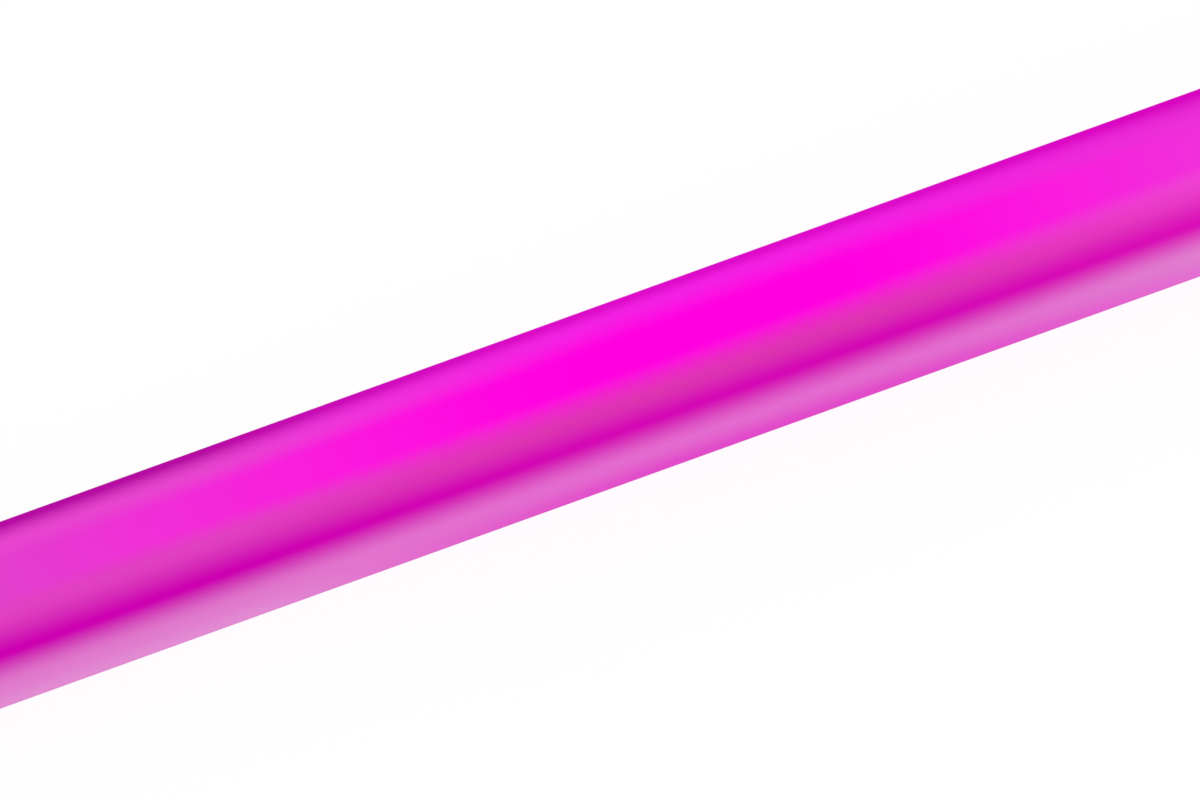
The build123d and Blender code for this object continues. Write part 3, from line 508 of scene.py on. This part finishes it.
class Growth(Nodes):
    """A geometry-node tree in the making, with named inputs for its sizes."""

    def __init__(self, name):
        super().__init__(bpy.data.node_groups.new(name, "GeometryNodeTree"))
        self.tree.interface.new_socket("Geometry", in_out="OUTPUT", socket_type="NodeSocketGeometry")
        self.inputs = self.add("NodeGroupInput")
        self.result = self.add("NodeGroupOutput")

    def size(self, name, kind="Float"):
        """Adds a named input and returns its socket inside the tree."""
        self.tree.interface.new_socket(name, in_out="INPUT", socket_type=f"NodeSocket{kind}")
        return self.inputs.outputs[name]

    def sizes(self, *names):
        return [self.size(name) for name in names]

    def grow(self, kind, values=None, **settings):
        """Adds a node and returns its first output."""
        return self.add(f"GeometryNode{kind}", values, **settings).outputs[0]

    def moved(self, geometry, translation=(0, 0, 0), rotation=(0, 0, 0), scale=(1, 1, 1)):
        values = {"Geometry": geometry, "Translation": translation, "Rotation": rotation, "Scale": scale}
        return self.grow("Transform", values)

    def vector(self, x=0.0, y=0.0, z=0.0):
        return self.add("ShaderNodeCombineXYZ", {"X": x, "Y": y, "Z": z}).outputs["Vector"]

    def end(self, geometry):
        """Closes the tree: real geometry with one material."""
        real = self.grow("RealizeInstances", {"Geometry": geometry})
        finish = self.size("Finish", "Material")
        finished = self.grow("SetMaterial", {"Geometry": real, "Material": finish})
        self.connect(self.result.inputs["Geometry"], finished)
        return self

    def mesh(self, name, **sizes):
        """Runs the tree and returns what it makes as a plain mesh, smooth where it is round."""
        holder = link(bpy.data.objects.new(name, bpy.data.meshes.new(name)))
        modifier = holder.modifiers.new("grow", "NODES")
        modifier.node_group = self.tree
        for socket in self.tree.interface.items_tree:
            if socket.in_out == "INPUT":
                modifier[socket.identifier] = sizes[socket.name.replace(" ", "_").lower()]
        mesh = evaluated_mesh(holder)
        mesh.name = name
        mesh.shade_smooth()
        mesh.set_sharp_from_angle(angle=SMOOTH_UNDER)
        return mesh

    def piece(self, name, material, slot, replaced=(), **sizes):
        """Runs the tree and finishes what it makes as a piece of the light's body."""
        mesh = self.mesh(name, finish=material, **sizes)
        return mesh_piece(name, mesh, material, replaced=replaced)


def evaluated_mesh(holder):
    """What an object makes, as a plain mesh. The object is removed."""
    depsgraph = bpy.context.evaluated_depsgraph_get()
    mesh = bpy.data.meshes.new_from_object(holder.evaluated_get(depsgraph))
    bpy.data.objects.remove(holder)
    return mesh


def ring_tree(name, corners):
    """A ring round the X axis: a wall section swept along a circle or a rounded polygon."""
    growth = Growth(name)
    radius, corner, wall, width = growth.sizes("Radius", "Corner", "Wall", "Width")
    rounding, groove_depth, groove_pitch = growth.sizes("Rounding", "Groove Depth", "Groove Pitch")
    place = growth.size("Place", "Vector")
    corner_steps, edge_steps, groove_step = 10, 6, 0.16 * MM

    path = growth.grow("CurvePrimitiveCircle", {"Resolution": corners, "Radius": radius})
    if corners < ROUND_FROM:
        path = growth.moved(path, rotation=(0, 0, math.pi / corners))
        fillet = {"Curve": path, "Count": corner_steps, "Radius": corner, "Limit Radius": True}
        path = growth.grow("FilletCurve", fillet, mode="POLY")
    section = growth.grow("CurvePrimitiveQuadrilateral", {"Width": wall, "Height": width})
    rounded = {"Curve": section, "Count": edge_steps, "Radius": rounding, "Limit Radius": True}
    section = growth.grow("FilletCurve", rounded, mode="POLY")
    if corners < ROUND_FROM:
        section = growth.grow("ResampleCurve", {"Curve": section, "Length": groove_step}, mode="LENGTH")
        section = grooved(growth, section, wall, width, groove_depth, groove_pitch)
    swept = growth.grow("CurveToMesh", {"Curve": path, "Profile Curve": section})
    return growth.end(growth.moved(swept, place, UPRIGHT))


def grooved(growth, section, wall, width, depth, pitch):
    """Sinks shallow grooves into the outer side of a ring's section, clear of its rounded edges."""
    outer_side, grooved_half = 0.499, 0.32  # shares of the wall and of the width, from the middle
    position = growth.grow("InputPosition")
    across, along = growth.add("ShaderNodeSeparateXYZ", {"Vector": position}).outputs[:2]
    outer = growth.maths("GREATER_THAN", across, growth.maths("MULTIPLY", wall, outer_side))
    reach = growth.maths("MULTIPLY", width, grooved_half)
    inside = growth.maths("LESS_THAN", growth.maths("ABSOLUTE", along), reach)
    phase = growth.maths("MULTIPLY", growth.maths("DIVIDE", along, pitch), 2 * math.pi)
    wave = growth.maths("POWER", growth.maths("MAXIMUM", growth.maths("COSINE", phase), 0.0), 2.0)
    where = growth.maths("MULTIPLY", outer, inside)
    sunk = growth.maths("MULTIPLY", growth.maths("MULTIPLY", wave, depth), where)
    offset = growth.vector(x=growth.maths("MULTIPLY", sunk, -1.0))
    return growth.grow("SetPosition", {"Geometry": section, "Offset": offset})


def thread_tree():
    """The ridge of an internal thread, wound round the X axis."""
    growth = Growth("thread_ridge")
    radius, depth, pitch, length = growth.sizes("Radius", "Depth", "Pitch", "Length")
    place, turn = growth.size("Place", "Vector"), growth.size("Turn", "Vector")
    turns = growth.maths("DIVIDE", length, pitch)
    winding = {"Resolution": 40, "Rotations": turns, "Start Radius": radius, "End Radius": radius}
    spiral = growth.grow("CurveSpiral", {**winding, "Height": length, "Reverse": False})
    ridge = growth.grow("CurvePrimitiveCircle", {"Resolution": 4, "Radius": depth})
    flat = growth.moved(ridge, scale=(1, 0.9, 1))
    wound = growth.grow("CurveToMesh", {"Curve": spiral, "Profile Curve": flat, "Fill Caps": True})
    upright = growth.moved(wound, rotation=UPRIGHT)
    return growth.end(growth.moved(upright, place, turn))


def dots_tree():
    """Small printed dots on an arc in the XZ plane, growing from the first to the last."""
    growth = Growth("scale_dots")
    count = growth.size("Count", "Int")
    radius, small, large = growth.sizes("Radius", "Small", "Large")
    thickness, start, sweep = growth.sizes("Thickness", "Start", "Sweep")
    place = growth.size("Place", "Vector")
    index = growth.grow("InputIndex")
    share = growth.maths("DIVIDE", index, growth.maths("SUBTRACT", count, 1.0))
    angle = growth.maths("MULTIPLY_ADD", share, sweep, start)
    across = growth.maths("MULTIPLY", growth.maths("COSINE", angle), radius)
    up = growth.maths("MULTIPLY", growth.maths("SINE", angle), radius)
    points = growth.grow("Points", {"Count": count, "Position": growth.vector(x=across, z=up)})
    dot = growth.grow("MeshCylinder", {"Vertices": 20, "Radius": 1.0, "Depth": 1.0})
    facing = growth.moved(dot, rotation=(math.pi / 2, 0, 0))
    size = growth.maths("MULTIPLY_ADD", share, growth.maths("SUBTRACT", large, small), small)
    scale = growth.vector(x=size, y=thickness, z=size)
    placed = growth.grow("InstanceOnPoints", {"Points": points, "Instance": facing, "Scale": scale})
    return growth.end(growth.moved(placed, place))


def inlay_mesh(name, outlines, centre, surface, thickness):
    """Flat marks that stand just off a surface, forwards or, with a negative thickness, backwards.

    Each outline is given in (X, Z) about the centre. A pair of equally long outlines makes a ring.
    """
    made = bmesh.new()
    for outline in outlines:
        rings = outline if isinstance(outline, tuple) else (outline,)
        layers = [
            [[made.verts.new((centre[0] + x, y, centre[1] + z)) for x, z in ring] for ring in rings]
            for y in (surface, surface - thickness)
        ]
        for layer in layers:
            if len(rings) == 1:
                made.faces.new(layer[0])
            else:
                wall_between(made, *layer)
        for lower, upper in zip(*layers):
            wall_between(made, lower, upper)
    bmesh.ops.recalc_face_normals(made, faces=made.faces)
    mesh = bpy.data.meshes.new(name)
    made.to_mesh(mesh)
    made.free()
    return mesh


def wall_between(made, first, second):
    """Joins two closed loops of as many vertices with faces."""
    for i in range(len(first)):
        made.faces.new((first[i - 1], first[i], second[i], second[i - 1]))


def bar(x, z, width, height):
    """A rectangle's corners about its middle."""
    return [(x + i * width / 2, z + j * height / 2) for i, j in ((-1, -1), (1, -1), (1, 1), (-1, 1))]


def frame_line(width, height, line):
    """A rectangular frame, as its outer and inner outlines."""
    return bar(0, 0, width, height), bar(0, 0, width - 2 * line, height - 2 * line)


def arc(radius, angles):
    return [(radius * math.cos(angle), radius * math.sin(angle)) for angle in angles]


def disc(radius, steps=24):
    return arc(radius, [i * math.tau / steps for i in range(steps)])


def band(radius, width, start, end, steps=28):
    """Part of a flat ring, from one angle to another in degrees."""
    angles = [math.radians(start + (end - start) * i / steps) for i in range(steps + 1)]
    return arc(radius + width / 2, angles) + arc(radius - width / 2, reversed(angles))


def text_mesh(name, words, size, centre, front):
    """Characters that face the front, centred on a point, as a mesh."""
    thickness = 0.05 * MM
    curve = bpy.data.curves.new(name, "FONT")
    curve.body, curve.size, curve.extrude = words, size, thickness / 2
    curve.align_x, curve.align_y = "CENTER", "CENTER"
    holder = link(bpy.data.objects.new(name, curve))
    bpy.context.view_layer.update()
    mesh = evaluated_mesh(holder)
    place = Matrix.Translation((centre[0], front - thickness / 2, centre[1]))
    mesh.transform(place @ Matrix.Rotation(math.pi / 2, 4, "X"))
    return mesh


def join_meshes(name, meshes):
    """Several meshes as one."""
    joined = bmesh.new()
    for mesh in meshes:
        joined.from_mesh(mesh)
    result = bpy.data.meshes.new(name)
    joined.to_mesh(result)
    joined.free()
    return result


def dress(material, *nodes):
    """Gives CAD nodes their finish."""
    for node in nodes:
        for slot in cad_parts[node].material_slots:
            slot.material = material


def round_edges(radius, *nodes):
    """Welds a CAD node's loose triangles, rounds its sharp edges and keeps its flats flat, as modifiers."""
    for node in nodes:
        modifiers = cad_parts[node].modifiers
        modifiers.new("weld", "WELD").merge_threshold = 0.002 * MM
        bevel = modifiers.new("edges", "BEVEL")
        bevel.width, bevel.segments, bevel.limit_method = radius, 2, "ANGLE"
        bevel.angle_limit = math.radians(32)
        bevel.use_clamp_overlap = True
        modifiers.new("flats", "WEIGHTED_NORMAL").weight = 90


# ---------------- operators


class LIGHTTUBE_OT_diffuser(bpy.types.Operator):
    """Makes the opal tube and lights it"""

    bl_idname = "light_tube.diffuser"
    bl_label = "Diffuser"

    def execute(self, context):
        glow = context.scene.light_tube_glow
        wall = TUBE_RADIUS - TUBE_BORE
        ends = (context.scene.light_tube_plain_light, context.scene.light_tube_control_light)
        material = opal_glow(glow, context.scene.light_tube_middle_light, *ends)
        ring_tree("diffuser_wall", glow.facets).piece(
            "opal_tube", material, "diffuser", ["diffuser_tube"],
            radius=TUBE_RADIUS - wall / 2,
            corner=0.0,
            wall=wall,
            width=TUBE_HIGH.x - TUBE_LOW.x,
            rounding=0.5 * MM,
            groove_depth=0.0,
            groove_pitch=1.0,
            place=((TUBE_LOW.x + TUBE_HIGH.x) / 2, 0, AXIS_Z),
        )
        return {"FINISHED"}


class LIGHTTUBE_OT_light_engine(bpy.types.Operator):
    """Finishes the spine, the LED boards and the battery inside the tube"""

    bl_idname = "light_tube.light_engine"
    bl_label = "Spine, LEDs and battery"

    def execute(self, context):
        dress(extruded("spine_anodised", linear("CFCFD3")), "spine")
        boards = [f"led_board_{i}" for i in (1, 2, 3)]
        dress(circuit_board("white_board", linear("EFEFEA"), linear("D8D2B8")), *boards)
        packages = [f"led_packages_{i}" for i in (1, 2, 3)]
        for name, colour, roughness, nodes in (
            ("led_package", "F3E4A8", (0.25, 0.35), packages),
            ("nylon_link", "EAE7DE", (0.4, 0.55), ["board_links"]),
            ("cell_sleeve", "2F6FA0", (0.25, 0.4), ["battery_cells"]),
            ("fibre_disc", "D9CFAE", (0.7, 0.85), ["cell_spacers"]),
            ("battery_wire", "B01818", (0.45, 0.6), ["battery_leads"]),
            ("led_wire", "E6E6E0", (0.45, 0.6), ["led_leads"]),
        ):
            dress(moulded_part(name, linear(colour), roughness), *nodes)
        foam = Finish("foam", Specular_IOR_Level=0.15).mottle(linear("38383B"), 1500, 0.35)
        foam.rough(0.85, 0.95, 700).bump(foam.noise(2200, 4.0), 0.15 * MM)
        dress(foam.material, "battery_stop_far", "battery_stop_control")
        return {"FINISHED"}


class LIGHTTUBE_OT_caps(bpy.types.Operator):
    """Finishes the moulded caps and end plates"""

    bl_idname = "light_tube.caps"
    bl_label = "Caps and end plates"

    def execute(self, context):
        finish = context.scene.light_tube_finish
        caps = ("far_cap", "control_housing", "far_end_plate", "control_end_plate")
        dress(grained_plastic("housing_plastic", finish.housing), *caps)
        round_edges(finish.edge_radius, *caps)
        dress(rubber("seal_rubber", linear("141415")), "far_tube_seal", "control_tube_seal")
        return {"FINISHED"}


class LIGHTTUBE_OT_bumpers(bpy.types.Operator):
    """Makes the grooved rubber bumpers"""

    bl_idname = "light_tube.bumpers"
    bl_label = "Bumpers"

    def execute(self, context):
        finish = context.scene.light_tube_finish
        material = rubber("bumper_rubber", finish.rubber)
        tree = ring_tree("bumper_ring", 8)
        for end in ("far", "control"):
            low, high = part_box(f"{end}_bumper")
            middle = (high.z - low.z) / 2 - finish.bumper_wall / 2
            tree.piece(
                f"{end}_grooved_bumper", material, "bumper", [f"{end}_bumper"],
                radius=middle / math.cos(math.pi / 8),
                corner=finish.bumper_corner,
                wall=finish.bumper_wall,
                width=high.x - low.x,
                rounding=finish.bumper_edge,
                groove_depth=finish.groove_depth,
                groove_pitch=finish.groove_pitch,
                place=((low.x + high.x) / 2, 0, (low.z + high.z) / 2),
            )
        return {"FINISHED"}


class LIGHTTUBE_OT_hardware(bpy.types.Operator):
    """Finishes the bails and screws, and adds the tripod inserts' threads"""

    bl_idname = "light_tube.hardware"
    bl_label = "Bails, inserts and screws"

    def execute(self, context):
        finish = context.scene.light_tube_finish
        dress(drawn_steel("bail_steel", finish.steel), "far_bail", "control_bail")
        brass = turned_metal("insert_brass", finish.brass, "X", (0, 0, AXIS_Z))
        dress(brass, "far_insert", "control_insert")
        round_edges(0.18 * MM, "far_insert", "control_insert")
        screws = [f"{end}_{kind}_screws" for end in ("far", "control") for kind in ("spine", "plate")]
        dress(black_screw("black_screw"), *screws, "control_board_screws", "charge_board_screws")
        round_edges(0.10 * MM, "far_plate_screws", "control_plate_screws")
        tree = thread_tree()
        for end, turn in (("far", math.pi), ("control", 0.0)):
            low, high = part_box(f"{end}_insert")
            inset = 1.2 * finish.thread_depth  # keeps the ridge's ends inside the bore
            start = high.x - inset if end == "far" else low.x + inset
            tree.piece(
                f"{end}_insert_thread", brass, "insert",
                radius=finish.thread_radius,
                depth=finish.thread_depth,
                pitch=finish.thread_pitch,
                length=high.x - low.x - 2 * inset,
                place=(start, 0, AXIS_Z),
                turn=(0, 0, turn),
            )
        return {"FINISHED"}


class LIGHTTUBE_OT_controls(bpy.types.Operator):
    """Finishes the fascia, the keys and the dial, and adds their marks"""

    bl_idname = "light_tube.controls"
    bl_label = "Controls"

    def execute(self, context):
        finish = context.scene.light_tube_finish
        dress(gloss_panel("fascia_gloss", finish.fascia), "control_fascia")
        keys = ("power_key", "mode_key", "menu_key", "back_key")
        dress(grained_plastic("key_silicone", finish.key, 3600, 0.012 * MM, (0.6, 0.72)), *keys)
        hub = (face_middle("dimmer_dial")[0], 0, AXIS_Z)
        dial = Finish("dial_anodised", Metallic=0.7).mottle(finish.dial, 500, 0.12)
        dial.rough(0.26, 0.38, 900).bump(dial.rings("Y", hub, 1300), 0.006 * MM, 0.7)
        dress(dial.material, "dimmer_dial")
        round_edges(0.12 * MM, "dimmer_dial")
        dress(turned_metal("shaft_steel", finish.steel, "Y", hub), "encoder_shaft")
        dress(moulded_part("encoder_case", linear("26262A")), "encoder_body")
        dress(moulded_part("switch_case", linear("2A2A2D")), "key_switches", "board_components")
        dress(circuit_board("control_board_mask", linear("0F4A2C"), linear("2C7A4A")), "control_board")
        self.print_marks(finish, hub)
        self.light_keys(finish)
        return {"FINISHED"}

    def print_marks(self, finish, hub):
        """Dots round the dial, a line round the display and the dial's pointer."""
        material = ink("fascia_ink", finish.ink)
        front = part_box("control_fascia")[0].y
        ink_thickness = 0.06 * MM
        dots_tree().piece(
            "dial_scale", material, "fascia",
            count=11,
            radius=7.42 * MM,
            small=0.14 * MM,
            large=0.30 * MM,
            thickness=ink_thickness,
            start=math.radians(225),
            sweep=math.radians(-270),
            place=(hub[0], front - ink_thickness / 2, hub[2]),
        )
        low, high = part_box("display_window")
        flange, clear, line_width = 1.0 * MM, 0.75 * MM, 0.25 * MM
        width, height = (high[i] - low[i] + 2 * (clear - flange) for i in (0, 2))
        outline = [frame_line(width, height, line_width)]
        centre = face_middle("display_window")
        line = inlay_mesh("display_line", outline, centre, front, ink_thickness)
        mesh_piece("display_line", line, material)
        dish_depth, from_hub, raised = 0.52 * MM, 2.45 * MM, 0.15 * MM
        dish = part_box("dimmer_dial")[0].y + dish_depth
        strip = bar(0, from_hub, 1.0 * MM, 4.7 * MM)
        pointer = inlay_mesh("dial_pointer", [strip], (hub[0], hub[2]), dish, raised)
        mesh_piece("dial_pointer", pointer, material, "dial")

    def light_keys(self, finish):
        """Pictograms on the keys: power, mode, menu and back."""
        material = ink("key_ink", finish.ink)
        line, thickness = 0.28 * MM, 0.04 * MM
        steps = [bar(0, z * 0.8 * MM, 2.0 * MM, line) for z in (-1, 0, 1)]
        dots = [band(1.15 * MM, 0.34 * MM, a - 13, a + 13, 6) for a in range(0, 360, 60)]
        tip, head, tail, half = (-1.1 * MM, 0), 1.0 * MM, 1.1 * MM, 0.25 * MM
        arrow = [tip, (0, -head), (0, -half), (tail, -half), (tail, half), (0, half), (0, head)]
        icons = {
            "power_key": [band(1.05 * MM, line, 120, 420), bar(0, 0.85 * MM, line, 1.1 * MM)],
            "mode_key": [*dots, disc(0.6 * MM)],
            "menu_key": steps,
            "back_key": [arrow],
        }
        for key, outlines in icons.items():
            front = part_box(key)[0].y
            mesh = inlay_mesh(f"{key}_mark", outlines, face_middle(key), front, thickness)
            mesh_piece(f"{key}_mark", mesh, material, key)


class LIGHTTUBE_OT_display(bpy.types.Operator):
    """Finishes the display, with lit numbers and level bars behind its window"""

    bl_idname = "light_tube.display"
    bl_label = "Display"

    def execute(self, context):
        finish = context.scene.light_tube_finish
        dress(clear_window("window_clear"), "display_window")
        dark = Finish("display_dark", Specular_IOR_Level=0.4).mottle(linear("07090D"), 200, 0.2)
        dress(dark.rough(0.2, 0.3, 300).material, "display_module")
        gap = 0.02 * MM
        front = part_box("display_module")[0].y - gap
        middle = face_middle("display_module")[0]
        row_pitch, text_size, text_x = 3.1 * MM, 2.9 * MM, middle - 8.6 * MM
        bar_x, bar_length, bar_height = middle - 4.4 * MM, 12.6 * MM, 1.1 * MM
        line_thickness, bar_thickness = 0.04 * MM, 0.05 * MM
        frame_height = bar_height + 0.6 * MM

        shell = [frame_line(2.6 * MM, frame_height, 0.16 * MM), bar(1.45 * MM, 0, 0.28 * MM, 0.8 * MM)]
        cells = [bar(i * 0.7 * MM, 0, 0.5 * MM, bar_height) for i in (-1, 0, 1)]
        corner = (middle + 10.3 * MM, AXIS_Z + row_pitch)
        lines = [inlay_mesh("battery", shell + cells, corner, front, line_thickness)]
        texts, levels = [], []
        for row, (words, level) in enumerate((("300°", 0.83), ("100", 1.0), ("85", 0.85))):
            z = AXIS_Z + (1 - row) * row_pitch
            texts.append(text_mesh(f"characters_{row}", words, text_size, (text_x, z), front))
            filled = level * bar_length
            fill = [bar(filled / 2, 0, filled, bar_height)]
            levels.append(inlay_mesh("level", fill, (bar_x, z), front, bar_thickness))
            outline = [frame_line(bar_length + 0.6 * MM, frame_height, 0.14 * MM)]
            centre = (bar_x + bar_length / 2, z)
            lines.append(inlay_mesh("trough", outline, centre, front, line_thickness))
        plain = lit_characters("characters_lit", finish.digits, 0.9)
        tinted = lit_characters("bars_lit", linear("FF30DC"), 1.0)
        characters = join_meshes("display_characters", texts + lines)
        mesh_piece("display_characters", characters, plain)
        mesh_piece("display_levels", join_meshes("display_levels", levels), tinted)
        return {"FINISHED"}


class LIGHTTUBE_OT_charging(bpy.types.Operator):
    """Finishes the charging socket and its flap"""

    bl_idname = "light_tube.charging"
    bl_label = "Charging socket"

    def execute(self, context):
        finish = context.scene.light_tube_finish
        dress(rubber("flap_rubber", finish.rubber), "port_cover", "port_cover_anchor")
        round_edges(0.15 * MM, "port_cover", "port_cover_anchor")
        dress(folded_steel("receptacle_steel"), "charge_receptacle")
        dress(circuit_board("charge_board_mask", linear("0F4A2C"), linear("2C7A4A")), "charge_board")
        self.print_bolt()
        return {"FINISHED"}

    def print_bolt(self):
        """A charging pictogram beside the flap, on the back of the housing."""
        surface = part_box("port_cover")[1].y
        bolt = [(-0.35, 1.9), (1.15, -0.35), (0.15, -0.35), (0.35, -1.9), (-1.15, 0.35), (-0.15, 0.35)]
        bolt = [(x * MM, z * MM) for x, z in bolt]
        from_flap, radius, line, thickness = 6.0 * MM, 3.1 * MM, 0.3 * MM, 0.05 * MM
        arcs = [band(radius, line, start, start + 140) for start in (20, 200)]
        centre = (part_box("port_cover_anchor")[0].x - from_flap, face_middle("port_cover_anchor")[1])
        mesh = inlay_mesh("charge_mark", [bolt, *arcs], centre, surface, -thickness)
        material = ink("housing_ink", linear("8E8E8C"))
        mesh_piece("charge_mark", mesh, material)


class LIGHTTUBE_OT_stage(bpy.types.Operator):
    """Sets up the floor, the light and the camera"""

    bl_idname = "light_tube.stage"
    bl_label = "Stage"

    def execute(self, context):
        stage = context.scene.light_tube_stage
        self.lay_floor(stage)
        self.light(stage)
        self.place_camera(stage)
        context.scene.view_settings.view_transform = "Standard"
        return {"FINISHED"}

    def blend(self, tree, share, first, second, kind):
        """Shows the second shader, by its share, where it is seen straight, in gloss or through glass."""
        nodes = Nodes(tree)
        tree.nodes.clear()
        rays = nodes.add("ShaderNodeLightPath").outputs
        bounced = nodes.maths("MAXIMUM", rays["Is Glossy Ray"], rays["Is Transmission Ray"])
        direct = nodes.maths("MAXIMUM", rays["Is Camera Ray"], bounced)
        shown = nodes.maths("MULTIPLY", direct, share)
        lit, plain = (nodes.add(*shader).outputs[0] for shader in (first, second))
        mixed = nodes.add("ShaderNodeMixShader", {"Fac": shown, 1: lit, 2: plain}).outputs["Shader"]
        nodes.add(f"ShaderNodeOutput{kind}", {"Surface": mixed})

    def lay_floor(self, stage):
        """A plain white floor that keeps a faint shadow."""
        half_width, grey, glow = 30, (0.84, 0.84, 0.84), 1.04
        made = bmesh.new()
        bmesh.ops.create_grid(made, x_segments=1, y_segments=1, size=half_width)
        mesh = bpy.data.meshes.new("floor")
        made.to_mesh(mesh)
        made.free()
        floor = link(bpy.data.objects.new("floor", mesh))
        material = bpy.data.materials.new("floor_white")
        material.use_nodes = True
        lit = ("ShaderNodeBsdfDiffuse", {"Color": grey})
        plain = ("ShaderNodeEmission", {"Color": WHITE, "Strength": glow})
        self.blend(material.node_tree, stage.backdrop, lit, plain, "Material")
        mesh.materials.append(material)

    def light(self, stage):
        """An even white surround and two large soft lamps."""
        world = bpy.data.worlds.new("studio")
        bpy.context.scene.world = world
        world.use_nodes = True
        lighting = ("ShaderNodeBackground", {"Color": WHITE, "Strength": stage.ambient})
        backdrop = ("ShaderNodeBackground", {"Color": WHITE, "Strength": 1.0})
        self.blend(world.node_tree, 1.0, lighting, backdrop, "World")
        for name, place, size, power in (
            ("key_lamp", (-0.9, -1.2, 1.6), 1.2, 9.0),
            ("fill_lamp", (1.3, 0.9, 1.2), 1.4, 5.0),
        ):
            data = bpy.data.lights.new(name, "AREA")
            data.shape, data.size, data.energy = "DISK", size, power
            lamp = link(bpy.data.objects.new(name, data))
            lamp.location = place
            aim = Vector((BARE_MIDDLE, 0, AXIS_Z)) - Vector(place)
            lamp.rotation_euler = aim.to_track_quat("-Z", "Y").to_euler()

    def place_camera(self, stage):
        """A long lens, high in front of the tube, rolled so that the tube climbs to the right."""
        level = Vector((math.sin(stage.turn), -math.cos(stage.turn), 0)) * math.cos(stage.elevation)
        back = level + Vector((0, 0, math.sin(stage.elevation)))
        data = bpy.data.cameras.new("camera")
        data.lens, data.sensor_width = stage.lens, stage.sensor
        data.clip_start, data.clip_end = 0.05, 100
        camera = link(bpy.data.objects.new("camera", data))
        right = (Vector((1, 0, 0)) - back * back.x).normalized()
        up = back.cross(right)
        tilt = Matrix((right, up, back)).transposed().to_4x4() @ Matrix.Rotation(-stage.slope, 4, "Z")
        centre = Vector((BARE_MIDDLE - stage.aim, 0, AXIS_Z)) - tilt.col[1].to_3d() * stage.drop
        distance = stage.width * stage.lens / stage.sensor
        camera.matrix_world = Matrix.Translation(centre + back * distance) @ tilt
        bpy.context.scene.camera = camera


OPERATORS = (
    LIGHTTUBE_OT_diffuser,
    LIGHTTUBE_OT_light_engine,
    LIGHTTUBE_OT_caps,
    LIGHTTUBE_OT_bumpers,
    LIGHTTUBE_OT_hardware,
    LIGHTTUBE_OT_controls,
    LIGHTTUBE_OT_display,
    LIGHTTUBE_OT_charging,
    LIGHTTUBE_OT_stage,
)
SETTINGS = {
    "light_tube_glow": GlowSettings,
    "light_tube_middle_light": MiddleLight,
    "light_tube_plain_light": PlainLight,
    "light_tube_control_light": ControlLight,
    "light_tube_finish": FinishSettings,
    "light_tube_stage": StageSettings,
}


class LIGHTTUBE_PT_panel(bpy.types.Panel):
    """Sizes, colours and steps of the light tube"""

    bl_idname = "LIGHTTUBE_PT_panel"
    bl_label = "Light Tube"
    bl_space_type = "VIEW_3D"
    bl_region_type = "UI"
    bl_category = "Light Tube"

    def draw(self, context):
        for name, group in SETTINGS.items():
            box = self.layout.box()
            for field in group.__annotations__:
                box.prop(getattr(context.scene, name), field)
        for operator in OPERATORS:
            self.layout.operator(operator.bl_idname)


def register():
    for group in SETTINGS.values():
        bpy.utils.register_class(group)
    for name, group in SETTINGS.items():
        setattr(bpy.types.Scene, name, PointerProperty(type=group))
    for item in (*OPERATORS, LIGHTTUBE_PT_panel):
        bpy.utils.register_class(item)


def unregister():
    for item in reversed((*OPERATORS, LIGHTTUBE_PT_panel)):
        bpy.utils.unregister_class(item)
    for name in SETTINGS:
        delattr(bpy.types.Scene, name)
    for group in SETTINGS.values():
        bpy.utils.unregister_class(group)


def main():
    register()
    for operator in OPERATORS:
        step = operator.bl_idname.split(".")[1]
        getattr(bpy.ops.light_tube, step)()


if __name__ == "__main__":
    main()
